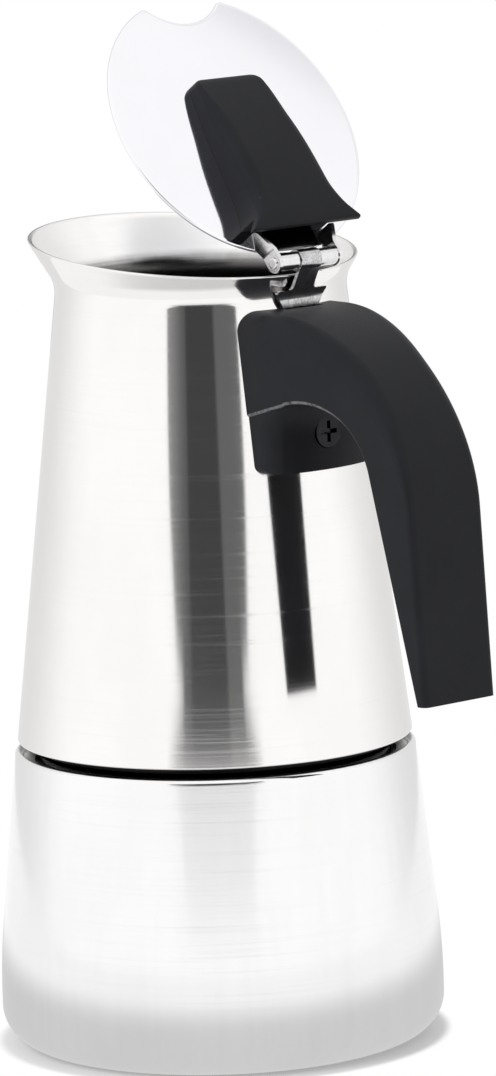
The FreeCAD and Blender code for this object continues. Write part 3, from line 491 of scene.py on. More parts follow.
def moulded_plastic(name, base, rub_and_highlight_tone, roughness, grain, rub_and_highlight_line):
    """Black moulded plastic: fine grain, soft patches, a few specks, and rubbed edges that are also a painted
    highlight.
    """
    finish = new_finish(name)
    fine = finish.noise(grain, 2.0, 0.55)
    patch = finish.noise(90.0, 3.0, 0.6)
    wisp = finish.noise(900.0, 3.0, 0.7)
    tone = finish.mixed(patch.ramp(0.25, 0.75), rgba(base, 0.90), rgba(base, 1.10))
    specks = finish.specks(95.0, 0.020) * wisp.ramp(0.45, 0.60)
    wear_and_highlight = specks * 0.25
    # The rubbed line is also a painted highlight along the handle's step and arch.
    if rub_and_highlight_line:
        wear_and_highlight = wear_and_highlight + rub_and_highlight_line(finish) * wisp.ramp(0.26, 0.56)
    tone = finish.mixed(wear_and_highlight, tone, rgba(rub_and_highlight_tone))
    rough = roughness + (patch - 0.5) * 0.10 + (fine - 0.5) * 0.12 + wear_and_highlight * 0.15
    return finish.surface(tone, rough, (fine * 0.7 + wisp * 0.3, 0.16, 0.00003), {"Specular IOR Level": 0.12})


def handle_rub_and_highlight(finish):
    """1 along the handle's step and arch, in a soft line about half a millimetre wide on both flanks: a
    rubbed edge that is also a painted highlight.

    The step is a sloping straight line, and the arch is a circle's arc from where they meet.
    """
    step_across, step_up, slope = 0.0386, 0.1327, 0.287
    arch_across, arch_up, arch_radius = 0.0430, 0.1169, 0.0166
    line, change, flank = (0.00013, 0.00042), (0.0382, 0.0390), (0.0095, 0.0115)
    across, side, up = finish.axes()
    arch = abs(finish.long_side(across - arch_across, up - arch_up) - arch_radius)
    step = abs((up - step_up) - (across - step_across) * slope)
    on_arch = across.ramp(*change) * (1.0 - arch.ramp(*line))
    on_step = (1.0 - across.ramp(*change)) * (1.0 - step.ramp(*line))
    return (on_arch + on_step) * abs(side).ramp(*flank)


def silicone_rubber(name, base):
    """Milky seal with soft clouds and a fine powdery grain."""
    finish = new_finish(name)
    cloud = finish.noise(160.0, 4.0, 0.6)
    grain = finish.noise(2400.0, 2.0, 0.6)
    tone = finish.mixed(cloud.ramp(0.30, 0.70), rgba(base, 0.90), rgba(base, 1.05))
    return finish.surface(tone, 0.52 + (cloud - 0.5) * 0.2, (grain, 0.10, 0.00003), {})


def turned_brass(name, base):
    """Lathe-turned brass with tool lines along the valve's axis and a faint tarnish."""
    finish = new_finish(name)
    lines = finish.noise((60.0, 3600.0, 60.0), 3.0, 0.6)
    tarnish = finish.noise(260.0, 4.0, 0.6)
    tone = finish.mixed(tarnish.ramp(0.35, 0.75), rgba(base, 1.05), rgba(base, 0.72))
    rough = 0.24 + tarnish * 0.16 + (lines - 0.5) * 0.08
    return finish.surface(tone, rough, (lines, 0.10, 0.00002), METAL)


def rounded_run(corners, steps):
    """Points of a run of straight lines whose corners (a, b, radius) are rounded.

    A rounded corner is an arc tangent to both lines: it starts radius / tan(half the corner's angle)
    before the corner, and its centre lies radius / sin(half the angle) along the bisector. One guard
    point stands a third of a radius, or less, before and after each arc, so that the lines shade flat.
    """
    corners = np.asarray(corners, float)
    points = [corners[0, :2]]
    for before, corner, after in zip(corners[:-2], corners[1:-1], corners[2:]):
        middle, radius = corner[:2], corner[2]
        back = (before[:2] - middle) / np.linalg.norm(before[:2] - middle)
        onward = (after[:2] - middle) / np.linalg.norm(after[:2] - middle)
        half = math.acos(np.clip(back @ onward, -1.0, 1.0)) / 2.0
        bisector = (back + onward) / np.linalg.norm(back + onward)
        centre = middle + bisector * radius / math.sin(half)
        first = middle + back * radius / math.tan(half)
        last = middle + onward * radius / math.tan(half)
        spoke, sweep = first - centre, math.pi - 2.0 * half
        turn = np.sign(spoke[0] * (last - centre)[1] - spoke[1] * (last - centre)[0])
        angles = np.linspace(0.0, turn * sweep, steps)
        cosine, sine = np.cos(angles), np.sin(angles)
        arc = np.stack((spoke[0] * cosine - spoke[1] * sine, spoke[0] * sine + spoke[1] * cosine), axis=-1)
        guard = min(radius / 3.0, LONGEST_GUARD)
        points += [first + back * guard, *(centre + arc), last + onward * guard]
    points.append(corners[-1, :2])
    return np.array(points)


def arc_points(centre, radius, start, end, steps):
    """Points at equal angles on a circle from one angle to another."""
    angles = np.linspace(start, end, steps)
    return np.stack((centre[0] + radius * np.cos(angles), centre[1] + radius * np.sin(angles)), axis=-1)


def carried_round(radius, height, turns):
    """A surface of revolution: radius and height arrays (profile, turns or 1) carried round the axis."""
    angles = np.linspace(0.0, FULL_TURN, turns, endpoint=False)
    radius, height = np.broadcast_arrays(radius, height + 0.0 * angles)
    return np.stack((radius * np.cos(angles), radius * np.sin(angles), height), axis=-1)


def grid_faces(rows, columns, close_rows, close_columns, first):
    """Four-sided faces between neighbours of a grid whose ends may be joined; first is its first point."""
    row = np.arange(rows if close_rows else rows - 1)[:, None]
    column = np.arange(columns if close_columns else columns - 1)[None, :]
    next_row, next_column = (row + 1) % rows, (column + 1) % columns
    corners = (row * columns + column, row * columns + next_column,
               next_row * columns + next_column, next_row * columns + column)
    return first + np.stack(np.broadcast_arrays(*corners), axis=-1).reshape(-1, 4)


def built(name, *grids):
    """One smooth mesh object from grids (points, rows joined, columns joined, material).

    Points that fall together at poles and seams are merged, and the faces are turned to point outwards.
    """
    mesh = bpy.data.meshes.new(name)
    points, faces, finishes, first = [], [], [], 0
    for grid, close_rows, close_columns, material in grids:
        rows, columns = grid.shape[:2]
        points.append(grid.reshape(-1, 3))
        faces.append(grid_faces(rows, columns, close_rows, close_columns, first))
        if material.name not in mesh.materials:
            mesh.materials.append(material)
        finishes.append(np.full(len(faces[-1]), mesh.materials.find(material.name), np.int32))
        first += rows * columns
    mesh.from_pydata(np.concatenate(points).tolist(), [], np.concatenate(faces).tolist())
    mesh.polygons.foreach_set("material_index", np.concatenate(finishes))
    shell = bmesh.new()
    shell.from_mesh(mesh)
    bmesh.ops.remove_doubles(shell, verts=shell.verts, dist=MERGED_WITHIN)
    bmesh.ops.recalc_face_normals(shell, faces=shell.faces)
    shell.to_mesh(mesh)
    shell.free()
    mesh.polygons.foreach_set("use_smooth", np.ones(len(mesh.polygons), bool))
    mesh.update()
    piece = bpy.data.objects.new(name, mesh)
    bpy.context.scene.collection.objects.link(piece)
    return piece


def dress(material, *nodes):
    """Gives CAD nodes their finish."""
    for node in nodes:
        slots = frame["nodes"][node].data.materials
        slots.clear()
        slots.append(material)


def placed(piece, body, slot, *nodes):
    """Sets a piece on its body in place of CAD nodes. The slot is not used."""
    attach(piece, body)
    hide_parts(*nodes)


def boiler_wall(sizes):
    """The boiler's sheet: its outer run from the floor to the neck, and back inside by the wall."""
    wall = sizes.wall
    lip, inner_shoulder = wall * 0.45, sizes.shoulder_round * 0.4
    outer = [(0.0, 0.0, 0.0), (sizes.radius, 0.0, sizes.corner),
             (sizes.radius, sizes.belly_height, sizes.belly_round),
             (sizes.shoulder_radius, sizes.shoulder_height, sizes.shoulder_round),
             (sizes.neck_radius, sizes.shoulder_height, sizes.neck_round),
             (sizes.neck_radius, sizes.neck_top, lip)]
    inner = [(sizes.neck_radius - wall, sizes.neck_top, lip),
             (sizes.neck_radius - wall, sizes.shoulder_height - wall, sizes.neck_round + wall),
             (sizes.shoulder_radius - wall, sizes.shoulder_height - wall, inner_shoulder),
             (sizes.radius - wall, sizes.belly_height, sizes.belly_round - wall),
             (sizes.radius - wall, wall, sizes.corner - wall), (0.0, wall, 0.0)]
    run = rounded_run(outer + inner, CORNER_STEPS)
    return carried_round(run[:, :1], run[:, 1:], WALL_TURNS)


def boiler_thread(sizes):
    """The neck's ridge: a trapezium carried up a helix, sunk into the neck at both ends."""
    rows, fading = 260, 0.12
    turn = np.linspace(0.0, sizes.thread_turns, rows)[:, None]
    fade = np.clip(np.minimum(turn, sizes.thread_turns - turn) / fading, 0.0, 1.0)
    fade = fade * fade * (3.0 - 2.0 * fade)
    depth = sizes.thread_depth * np.array([-0.35, 0.0, 0.85, 1.0, 1.0, 0.85, 0.0, -0.35])
    root, crest = sizes.thread_root / 2.0, sizes.thread_crest / 2.0
    rise = np.array([-root, -root, -crest * 1.12, -crest * 0.8, crest * 0.8, crest * 1.12, root, root])
    radius = sizes.neck_radius + depth * fade - sizes.thread_depth * 0.3 * (1.0 - fade)
    height = sizes.thread_start + turn * sizes.thread_pitch + rise * (0.25 + 0.75 * fade)
    angles = FULL_TURN * turn
    ridge = np.stack((radius * np.cos(angles), radius * np.sin(angles), height + 0.0 * radius), axis=-1)
    ends = ridge[[0, -1]].mean(axis=1, keepdims=True) + 0.0 * ridge[[0, -1]]
    return np.concatenate((ends[:1], ridge, ends[1:]))


def valve_pad(sizes):
    """The boss round the valve: a rounded ring section carried round the valve's axis."""
    under_round, outer_round, bore_round = 0.0003, 0.0004, 0.0002
    middle, opening = (sizes.pad_bore + sizes.pad_radius) / 2.0, 1e-5
    ring = [(middle, sizes.pad_inner, 0.0), (sizes.pad_radius, sizes.pad_inner, under_round),
            (sizes.pad_radius, sizes.pad_outer, outer_round), (sizes.pad_bore, sizes.pad_outer, bore_round),
            (sizes.pad_bore, sizes.pad_inner, bore_round), (middle - opening, sizes.pad_inner, 0.0)]
    run = rounded_run(ring, CORNER_STEPS // 2 + 1)
    pad = carried_round(run[:, :1], run[:, 1:], SMALL_TURNS)
    return np.stack((pad[..., 0], pad[..., 2], sizes.pad_height - pad[..., 1]), axis=-1)


def jug_shell(sizes):
    """The jug's sheet, outer and inner side: cone, waist and flare, ended by the rim's tilted plane.

    Along the flare a point is waist + s (sin flare, cos flare). The plane is height = rim height -
    x tan(tilt), so s = (rim height - waist height - waist radius cos(angle) tan(tilt)) divided by
    (cos flare + sin flare cos(angle) tan(tilt)). The edge is a half ellipse over the sheet's wall.
    """
    overrun, waist_steps, flare_steps, edge_steps = 0.02, 26, 9, 11
    spread = np.cos(np.linspace(0.0, FULL_TURN, JUG_TURNS, endpoint=False)) * math.tan(sizes.rim_tilt)
    lean = np.array([math.sin(sizes.flare), math.cos(sizes.flare)])
    taper = math.atan2(sizes.foot_radius - sizes.waist_radius, sizes.waist_height - sizes.foot_height)
    level = math.tan((sizes.flare + taper) / 2.0)
    inset = sizes.wall * math.cos(taper) + sizes.wall * level * math.sin(taper)
    drop = sizes.wall * math.sin(taper) - sizes.wall * level * math.cos(taper)

    def run_to_rim(foot, waist, rounding):
        """Radius and height arrays from the foot to the tilted rim."""
        end = waist + lean * overrun
        under = (sizes.foot_radius - sizes.wall / 2.0, sizes.foot_height, 0.0)
        corners = [under, (*foot, sizes.foot_round), (*waist, rounding), (*end, 0.0)]
        run = rounded_run(corners, waist_steps)[:-1]
        reach = (sizes.rim_height - waist[1] - waist[0] * spread) / (lean[1] + lean[0] * spread) - sizes.edge
        start = (run[-1] - waist) @ lean
        along = start + (reach - start) * np.linspace(0.0, 1.0, flare_steps)[1:, None]
        radius = np.concatenate((run[:, :1] + 0.0 * spread, waist[0] + along * lean[0]))
        height = np.concatenate((run[:, 1:] + 0.0 * spread, waist[1] + along * lean[1]))
        return np.stack((radius, height), axis=-1)

    foot = np.array([sizes.foot_radius, sizes.foot_height])
    waist = np.array([sizes.waist_radius, sizes.waist_height])
    inner_foot = foot - np.array([sizes.wall / math.cos(taper), 0.0])
    inner_waist = waist - np.array([inset, drop])
    outer = run_to_rim(foot, waist, sizes.waist_round)
    inner = run_to_rim(inner_foot, inner_waist, sizes.waist_round + sizes.wall)
    middle, half = (outer[-1] + inner[-1]) / 2.0, (outer[-1] - inner[-1]) / 2.0
    swing = np.linspace(0.0, math.pi, edge_steps)[1:-1, None, None]
    edge = middle + half * np.cos(swing) + lean * sizes.edge * np.sin(swing)
    half_way = len(edge) // 2
    outer = np.concatenate((outer, edge[:half_way + 1]))
    inner = np.concatenate((edge[half_way:], inner[::-1]))
    return [carried_round(side[..., 0], side[..., 1], JUG_TURNS) for side in (outer, inner)]


def lid_plate(sizes, pin):
    """The lid: a disc with a pouring notch and a rounded edge, turned open about the hinge pin.

    Its outline is the disc's circle, the notch's circle and two small arcs tangent to both; a ring of
    the plate is the outline drawn in towards the centre, and the edge is a half ellipse.
    """
    disc_steps, notch_steps, edge_steps = 200, 50, 9
    radius, notch, horn = sizes.radius, sizes.notch_radius, sizes.horn_round
    away = radius - sizes.notch_depth + notch
    reach = radius - horn
    bearing = math.acos((reach ** 2 + away ** 2 - (notch + horn) ** 2) / (2.0 * reach * away))
    tip = np.array([reach * math.cos(bearing), reach * math.sin(bearing)])
    facing = math.atan2(tip[1], tip[0] - away)
    outline = np.concatenate((
        arc_points((0.0, 0.0), radius, bearing, FULL_TURN - bearing, disc_steps)[:-1],
        arc_points(tip * (1, -1), horn, -bearing, math.pi - facing, CORNER_STEPS)[:-1],
        arc_points((away, 0.0), notch, FULL_TURN - facing, facing, notch_steps)[:-1],
        arc_points(tip, horn, facing - math.pi, bearing, CORNER_STEPS)[:-1],
    ))
    ahead = np.roll(outline, -1, axis=0) - np.roll(outline, 1, axis=0)
    outward = np.stack((ahead[:, 1], -ahead[:, 0]), axis=-1) / np.linalg.norm(ahead, axis=1, keepdims=True)
    shrunk = outline - outward * sizes.edge
    swing = np.linspace(-QUARTER_TURN, QUARTER_TURN, edge_steps)[:, None, None]
    half = sizes.thickness / 2.0
    rim = shrunk + outward * sizes.edge * np.cos(swing)
    rim_height = np.broadcast_to(half * np.sin(swing[..., 0]), rim.shape[:2])
    share_in = np.array([0.0, 0.35, 0.7, 0.92, 0.985])[:, None, None]
    plate = shrunk * share_in
    flat = np.full(plate.shape[:2], half)
    across = np.concatenate((plate, rim, plate[::-1]))
    up = np.concatenate((-flat, rim_height, flat)) - half
    return swung(across[..., 0] + sizes.reach, across[..., 1], up, sizes, pin)


def swung(reach, side, up, sizes, pin):
    """Points given by reach from the hinge pin and height over the closed lid, turned open about the pin."""
    x, z = -reach, up - sizes.drop
    turn_cosine, turn_sine = math.cos(sizes.opening), math.sin(sizes.opening)
    return np.stack((pin[0] + x * turn_cosine + z * turn_sine, side,
                     pin[2] - x * turn_sine + z * turn_cosine), axis=-1)


def knob_block(sizes, lid, pin):
    """The knob: upright sections with two rounded top corners, from the tail's end to the far end.

    The half width is that of the grip, plus a flare that fades exponentially from the tail, less a cube of
    the reach beyond the crown. The height is a parabola on each side of the crown. Quarter ellipses round off
    both ends, the tail's underside steps up over the lid, and each end face is drawn in to a point. Guard
    points beside the edges keep the flat faces' shading flat.
    """
    guard, end_steps, grip_steps, deepest = 0.0002, 9, 50, 0.8
    quarter = np.linspace(0.0, QUARTER_TURN, end_steps)
    rise, fall = 1.0 - np.sin(quarter), 1.0 - np.cos(quarter)
    tail_end = sizes.tail + sizes.tail_round * rise[::-1]
    far_end = sizes.far - sizes.end_length * rise
    step = sizes.root + guard * np.array([-1.0, 0.0, 0.0, 1.0])
    grip = np.linspace(step[-1], far_end[0], grip_steps)[1:-1]
    reach = np.concatenate((tail_end[:1], tail_end, step, grip, far_end, far_end[-1:]))
    tail_share, far_share = np.zeros(len(reach)), np.zeros(len(reach))
    tail_share[:1 + end_steps] = np.concatenate(([1.0], fall[::-1]))
    far_share[-1 - end_steps:] = np.concatenate((fall, [1.0]))
    over_tail = np.arange(len(reach)) < 1 + end_steps + len(step) // 2
    beyond = np.clip((reach - sizes.crown_reach) / (sizes.far - sizes.crown_reach), 0.0, 1.0)
    before = np.clip((sizes.crown_reach - reach) / (sizes.crown_reach - sizes.tail), 0.0, 1.0)
    half = sizes.half_width + sizes.flare * np.exp((sizes.tail - reach) / sizes.flare_length)
    half = half - sizes.taper * beyond ** 3 - sizes.end_inset * far_share - sizes.tail_round * tail_share
    top = sizes.crown - sizes.tail_drop * before ** 2 - sizes.far_drop * beyond ** 2
    top = top - sizes.end_drop * far_share - sizes.tail_round * tail_share
    foot = np.where(over_tail, sizes.under, 0.0) + sizes.tail_round * tail_share
    ease = np.minimum((reach - sizes.tail) / sizes.tail_ease, (sizes.far - reach) / sizes.far_ease)
    ease = np.clip(ease, 0.0, 1.0)
    rounding = sizes.tail_round + (sizes.edge_round - sizes.tail_round) * ease * ease * (3.0 - 2.0 * ease)
    rounding = np.minimum(rounding, deepest * (top - foot) - guard)
    half, top, foot, rounding = (value[:, None] for value in (half, top, foot, rounding))
    out = np.hstack((half - rounding - guard, half - rounding * rise, half, half, half, half - guard))
    up = np.hstack((top, top - rounding * fall, top - rounding - guard, foot + guard, foot, foot))
    side, up = np.hstack((out, -out[:, ::-1])), np.hstack((up, up[:, ::-1]))
    ends = [0, -1]
    side[ends], up[ends] = 0.0, (top[ends] + foot[ends]) / 2.0
    return swung(np.broadcast_to(reach[:, None], up.shape), sizes.offset + side, up, lid, pin)


def coil_spring(low, high, sizes):
    """A coil spring along Y that fills a box: a round wire along a helix, its ends drawn in to points."""
    turn_steps, wire_steps = 24, 9
    turns, wire = sizes.spring_turns, sizes.spring_wire
    middle = (low + high) / 2.0
    angles = np.linspace(0.0, FULL_TURN * turns, turn_steps * turns + 1)
    angles = np.concatenate((angles[:1], angles, angles[-1:]))[:, None]
    radius = np.full(angles.shape, wire / 2.0)
    radius[[0, -1]] = 0.0
    around = np.linspace(0.0, FULL_TURN, wire_steps)[None, :-1]
    out = (high[0] - low[0] - wire) / 2.0 + radius * np.cos(around)
    along = low[1] + wire / 2.0 + (high[1] - low[1] - wire) * angles / angles[-1] + radius * np.sin(around)
    return np.stack((middle[0] + out * np.cos(angles), along, middle[2] + out * np.sin(angles)), axis=-1)


class PieceOperator:
    """Settings shared by the operators of the pot."""

    bl_options = {"REGISTER", "UNDO"}

    @property
    def pot(self):
        return bpy.context.scene.moka_pot


class MOKA_OT_boiler(PieceOperator, bpy.types.Operator):
    """Build the boiler's wall, thread and valve boss in satin steel"""

    bl_idname = "moka.boiler"
    bl_label = "Boiler"

    def execute(self, context):
        sizes, steel = self.pot.boiler, self.pot.steel

        def seam_painted_shadow(finish):
            """1 on the neck's foot: a painted shadow, nearly black, in the gap between boiler and jug."""
            across, side, up = finish.axes()
            thread, shoulder, ledge = sizes.thread_start, sizes.shoulder_radius, sizes.shoulder_height
            below_thread = 1.0 - up.ramp(thread - 0.0016, thread - 0.0008)
            inward = 1.0 - finish.long_side(across, side).ramp(shoulder - 0.0030, shoulder - 0.0014)
            return below_thread * inward * up.ramp(ledge - 0.0004, ledge - 0.0002)

        # The boiler's steel is painted nearly black on the neck's foot, as painted shadow in the seam's gap.
        satin = turned_steel("satin_steel", steel.satin, steel.satin_roughness, steel.brushing,
                             drawn=0.30, anisotropy=0.3, painted_shade=seam_painted_shadow)
        piece = built("boiler", (boiler_wall(sizes), False, True, satin),
                      (boiler_thread(sizes), False, True, satin), (valve_pad(sizes), True, True, satin))
        placed(piece, "boiler", "satin_steel", "boiler_shell")
        return {"FINISHED"}


class MOKA_OT_jug(PieceOperator, bpy.types.Operator):
    """Build the jug's sheet with its flared rim, polished outside, with painted light on the inner flare and
    painted shade inside below the waist
    """

    bl_idname = "moka.jug"
    bl_label = "Jug"

    def execute(self, context):
        sizes, steel = self.pot.jug, self.pot.steel
        polished = turned_steel("polished_steel", steel.polished, steel.polished_roughness, steel.brushing,
                                drawn=0.10, anisotropy=0.4)
        plain = inner_steel("jug_inside_steel", steel.inside, steel.flare, sizes.waist_height)
        outer, inner = jug_shell(sizes)
        piece = built("jug", (outer, False, True, polished), (inner, False, True, plain))
        placed(piece, "jug", "polished_steel", "collector_shell")
        return {"FINISHED"}


class MOKA_OT_lid(PieceOperator, bpy.types.Operator):
    """Build the lid's plate in mirror steel"""

    bl_idname = "moka.lid"
    bl_label = "Lid"

    def execute(self, context):
        mirror = mirror_steel("lid_mirror_steel", self.pot.steel.mirror)
        plate = lid_plate(self.pot.lid, PIN_PLACE)
        placed(built("lid", (plate, False, True, mirror)), "lid", "lid_mirror_steel", "lid_disc")
        return {"FINISHED"}


class MOKA_OT_hinge(PieceOperator, bpy.types.Operator):
    """Finish the hinge's bracket, leaf, pin, sleeves and screws"""

    bl_idname = "moka.hinge"
    bl_label = "Hinge"

    def execute(self, context):
        steel = self.pot.steel
        bright = plated_steel("hinge_steel", steel.hinge, speckle=0.12)
        darker = [channel * 0.80 for channel in steel.hinge]
        dress(plated_steel("bracket_steel", darker, speckle=0.42), "hinge_bracket")
        dress(bright, "hinge_pin", "hinge_sleeves", "lid_screws")
        # The leaf's web between the ears is painted shade, nearly black, under the knob's tail.
        dress(plated_steel("leaf_steel", steel.hinge, 0.12, painted_shade_half_width=steel.web), "lid_hinge_leaf")
        return {"FINISHED"}


class MOKA_OT_grips(PieceOperator, bpy.types.Operator):
    """Build the black knob, and finish the handle and its fixings"""

    bl_idname = "moka.grips"
    bl_label = "Handle and knob"

    def execute(self, context):
        moulded, steel = self.pot.moulded, self.pot.steel
        grip = (moulded.black, moulded.rub_and_highlight_colour, moulded.black_roughness, moulded.grain)
        dress(moulded_plastic("handle_plastic", *grip, handle_rub_and_highlight), "handle")
        knob = knob_block(self.pot.knob, self.pot.lid, PIN_PLACE)
        black = moulded_plastic("knob_plastic", *grip, None)
        placed(built("knob", (knob, False, True, black)), "lid", "black_plastic", "lid_knob")
        dress(plated_steel("dark_steel", steel.dark, speckle=0.30), "handle_screw")
        dress(pressed_steel("stud_steel", steel.pressed, roughness=0.34), "handle_stud")
        return {"FINISHED"}


class MOKA_OT_brewing(PieceOperator, bpy.types.Operator):
    """Finish the pieces inside: collar, floor, chimney, funnel, sieve, filter and gasket"""

    bl_idname = "moka.brewing"
    bl_label = "Inner pieces"

    def execute(self, context):
        steel, moulded = self.pot.steel, self.pot.moulded
        pressed = pressed_steel("inner_steel", steel.pressed, roughness=0.32)
        dress(pressed, "threaded_collar", "collector_floor", "chimney", "chimney_cap", "funnel",
              "funnel_sieve", "filter_plate")
        dress(silicone_rubber("seal_silicone", moulded.silicone), "gasket")
        return {"FINISHED"}


class MOKA_OT_valve(PieceOperator, bpy.types.Operator):
    """Build the safety valve's spring, and finish the valve's other pieces"""

    bl_idname = "moka.valve"
    bl_label = "Safety valve"

    def execute(self, context):
        steel, moulded = self.pot.steel, self.pot.moulded
        small = plated_steel("valve_steel", steel.hinge, speckle=0.10)
        dress(turned_brass("valve_brass", steel.brass), "safety_valve_body", "safety_valve_nut")
        dress(small, "safety_valve_retainer", "safety_valve_pin")
        low, high = (np.array(corner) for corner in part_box("safety_valve_spring"))
        spring = built("valve_spring", (coil_spring(low, high, self.pot.valve), False, True, small))
        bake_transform(spring)
        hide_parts("safety_valve_spring")
        dress(silicone_rubber("washer_silicone", moulded.silicone), "safety_valve_washer")
        return {"FINISHED"}


class MOKA_OT_studio(PieceOperator, bpy.types.Operator):
    """Set up the floor, the studio's light, its cards and the camera"""

    bl_idname = "moka.studio"
    bl_label = "Studio"

    def execute(self, context):
        setup = self.pot.studio
        scene = bpy.context.scene
        scene.view_settings.view_transform = "Standard"
        toward = np.array([math.cos(setup.bearing), math.sin(setup.bearing), 0.0])
        rightward = np.array([-toward[1], toward[0], 0.0])
        self.floor(setup)
        self.surround(scene, setup, toward)
        self.key_light(setup, toward, rightward)
        self.flags(setup, toward, rightward)
        self.camera(scene, setup, toward)
        return {"FINISHED"}

    def floor(self, setup):
        """A disc that shows the pot's shadow near it and is plain white further out.

        Mirrored, it glows with a painted shade near the pot that clears to white.
        """
        shadow_end, clearing, mirrored_painted_shade, sunk = (0.0440, 0.0465), (0.085, 0.165), 0.77, 0.00005
        finish = new_finish("floor_paper")
        across, side, _ = finish.axes()
        away = finish.long_side(across, side)
        camera, mirrored = finish.rays()
        fibre = finish.noise(300.0, 3.0, 0.6)
        paper = finish.mixed(fibre, rgba(setup.floor, 0.99), rgba(setup.floor, 1.01))
        matt = finish.node("ShaderNodeBsdfDiffuse", {}, {"Color": paper})
        lit = finish.either(camera * away.ramp(*shadow_end), matt, finish.glow(WHITE))
        # Painted shade: the floor seen in the steel glows darker near the pot, in place of its shadow.
        seen_in_steel = finish.glow(finish.mixed(away.ramp(*clearing), rgba(setup.floor, mirrored_painted_shade), WHITE))
        material = finish.ended(finish.either(mirrored, lit, seen_in_steel))
        radius = np.linspace(0.0, setup.floor_radius, 12)[:, None]
        disc = carried_round(radius, 0.0 * radius - sunk, SMALL_TURNS)
        built("floor", (disc, False, True, material))

    def surround(self, scene, setup, toward):
        """A white room: plain white to the camera, a little darker behind the pot in reflections."""
        finish = Finish(bpy.data.worlds.new("studio"))
        camera, mirrored = finish.rays()
        east, north, up = finish.parts(finish.node("ShaderNodeTexCoord", {}, {}, "Generated"))
        facing = east * toward[0] + north * toward[1]
        behind, before = ((level, level, level, 1.0) for level in (setup.backdrop, setup.surround))
        room = finish.mixed(facing.ramp(-0.95, 0.05), behind, before)
        sky = finish.mixed(up.ramp(-0.4, 0.9), rgba((0.78, 0.78, 0.78)), WHITE)
        matt, glossy, plain = (
            finish.node("ShaderNodeBackground", {}, {"Color": tone, "Strength": strength})
            for tone, strength in ((sky, setup.ambient), (room, 1.0), (WHITE, 1.0)))
        white = finish.either(camera, finish.either(mirrored, matt, glossy), plain)
        scene.world = finish.ended(white, "ShaderNodeOutputWorld")

    def key_light(self, setup, toward, rightward):
        """One large soft lamp, high on the camera's left, turned to the middle of the pot."""
        near, left, high, aimed = 0.65, 0.80, 0.65, Vector((0.0, 0.0, 0.1))
        lamp = bpy.data.lights.new("key_light", "AREA")
        lamp.shape = "RECTANGLE"
        lamp.size, lamp.size_y = 0.7, 0.9
        lamp.energy = setup.key_power
        light = bpy.data.objects.new("key_light", lamp)
        light.location = toward * near - rightward * left + np.array([0.0, 0.0, high])
        light.rotation_euler = (aimed - light.location).to_track_quat("-Z", "Y").to_euler()
        light.visible_glossy = False
        bpy.context.scene.collection.objects.link(light)

    def card(self, name, corners, centre, across, up, even, tone, *changes):
        """A card that only reflections show, by half width and height along its two axes.

        Half width and height run through rounded corners, and a row of the card spans both sides. Its tone
        changes (start, end, next tone) from left to right, or from the middle outwards if even.
        """
        corner_steps, columns = 12, 33
        run = rounded_run(corners, corner_steps)
        offset = np.linspace(-1.0, 1.0, columns)[None, :] * run[:, :1]
        points = centre + offset[..., None] * across + run[:, 1:, None] * up
        finish = new_finish(name + "_cloth")
        east, north, _ = finish.axes()
        along = (east - centre[0]) * across[0] + (north - centre[1]) * across[1]
        along = abs(along) if even else along
        shade = rgba(tone)
        for start, end, next_tone in changes:
            shade = finish.mixed(along.ramp(start, end), shade, rgba(next_tone))
        card = built(name, (points, False, False, finish.ended(finish.glow(shade))))
        card.visible_camera = False
        card.visible_diffuse = False
        card.visible_shadow = False

    def flags(self, setup, toward, rightward):
        """Cards for the steel to mirror.

        The dark flag has a waist above its foot, fades on the left and has a lighter stripe on the right.
        A grey flag stands behind the pot, and one pale card each serves the boiler and the lid.
        """
        wide, low, top = setup.flag_half_width, setup.flag_bottom, setup.flag_top
        upright, centre = np.array([0.0, 0.0, 1.0]), toward * setup.flag_distance
        waisted = [(1.05 * wide, low, 0.0), (setup.flag_waist, low + 0.0215, 0.003),
                   (0.78 * wide, low + 0.033, 0.03), (wide, low + 0.086, 0.06), (wide, top, 0.0)]
        self.card("flag", waisted, centre, rightward, upright, False, (0.27, 0.27, 0.27),
                  (-wide, -0.45 * wide, (0.105, 0.105, 0.108)),
                  (-0.48 * wide, -0.43 * wide, (0.052, 0.051, 0.054)),
                  (0.28 * wide, 0.33 * wide, (0.128, 0.132, 0.132)))
        narrow = [(0.02, low, 0.0), (0.5 * wide, low, 0.02), (0.5 * wide, top, 0.0)]
        self.card("back_flag", narrow, -centre, rightward, upright, True, (0.16, 0.16, 0.16),
                  (0.1 * wide, 0.5 * wide, (0.60, 0.60, 0.60)))
        under = [(0.02, setup.pale_bottom, 0.0), (0.60 * wide, setup.pale_bottom, 0.016),
                 (0.86 * wide, low - 0.004, 0.0)]
        self.card("pale_card", under, centre, rightward, upright, True, (0.92, 0.92, 0.93),
                  (0.3 * wide, 0.9 * wide, (0.95, 0.95, 0.96)))
        sight = np.array(setup.lid_card) / np.linalg.norm(setup.lid_card)
        level = np.cross(upright, sight) / np.linalg.norm(np.cross(upright, sight))
        mirrored_at, away, shift = np.array([0.005, 0.020, 0.195]), 0.70, 0.030
        strip = [(0.0, -0.09, 0.0), (0.03, -0.08, 0.005), (0.03, 0.08, 0.005), (0.0, 0.09, 0.0)]
        lid_centre = mirrored_at + away * sight + shift * level
        self.card("lid_card", strip, lid_centre, level, np.cross(sight, level), False, (0.84, 0.84, 0.85),
                  (-0.03, 0.03, (0.90, 0.90, 0.91)))

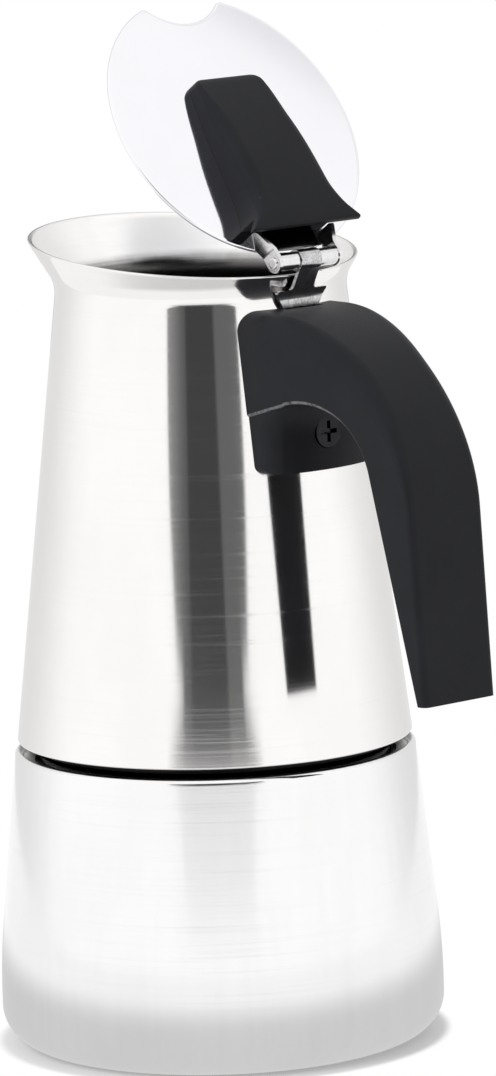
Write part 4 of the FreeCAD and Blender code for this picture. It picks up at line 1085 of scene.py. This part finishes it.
    def camera(self, scene, setup, toward):
        """A long lens at the picture's angle, aimed so that the picture needs no shift."""
        eye = Vector(toward * setup.distance) + Vector((0.0, 0.0, setup.height))
        ahead = (Vector((0.0, 0.0, setup.aim)) - eye).normalized()
        side = ahead.cross(Vector((0.0, 0.0, 1.0))).normalized()
        up = side.cross(ahead)
        level, lift = math.cos(setup.roll), math.sin(setup.roll)
        side, up = side * level + up * lift, up * level - side * lift
        ahead += side * (setup.frame_width / 2.0 - setup.aim_x) / setup.focal
        ahead += up * (setup.aim_y - setup.frame_height / 2.0) / setup.focal
        ahead.normalize()
        side = (side - ahead * side.dot(ahead)).normalized()
        up = side.cross(ahead)
        lens = bpy.data.cameras.new("camera")
        lens.sensor_width = 36.0
        lens.lens = setup.focal / setup.frame_height * lens.sensor_width
        lens.clip_start, lens.clip_end = 0.05, 20.0
        camera = bpy.data.objects.new("camera", lens)
        turn = Matrix((side, up, -ahead)).transposed()
        camera.matrix_world = Matrix.Translation(eye) @ turn.to_4x4()
        scene.collection.objects.link(camera)
        scene.camera = camera


class MOKA_PT_panel(bpy.types.Panel):
    """Sidebar panel that lists the pot's pieces"""

    bl_idname = "MOKA_PT_panel"
    bl_label = "Moka Pot"
    bl_space_type = "VIEW_3D"
    bl_region_type = "UI"
    bl_category = "Moka Pot"

    def draw(self, context):
        for operator in OPERATORS:
            self.layout.operator(operator.bl_idname)


OPERATORS = (MOKA_OT_boiler, MOKA_OT_jug, MOKA_OT_lid, MOKA_OT_hinge, MOKA_OT_grips, MOKA_OT_brewing,
             MOKA_OT_valve, MOKA_OT_studio)
GROUPS = (BoilerSizes, JugSizes, LidSizes, KnobSizes, ValveSizes, SteelFinish, MouldedFinish, StudioSetup,
          MokaPot)


def register():
    """Registers the settings, the operators and the panel."""
    for group in GROUPS + OPERATORS + (MOKA_PT_panel,):
        bpy.utils.register_class(group)
    bpy.types.Scene.moka_pot = PointerProperty(type=MokaPot)


def unregister():
    """Takes back what register added."""
    del bpy.types.Scene.moka_pot
    for group in reversed(GROUPS + OPERATORS + (MOKA_PT_panel,)):
        bpy.utils.unregister_class(group)


def main():
    """Builds the pot piece by piece."""
    register()
    for operator in OPERATORS:
        family, name = operator.bl_idname.split(".")
        getattr(getattr(bpy.ops, family), name)()


if __name__ == "__main__":
    main()
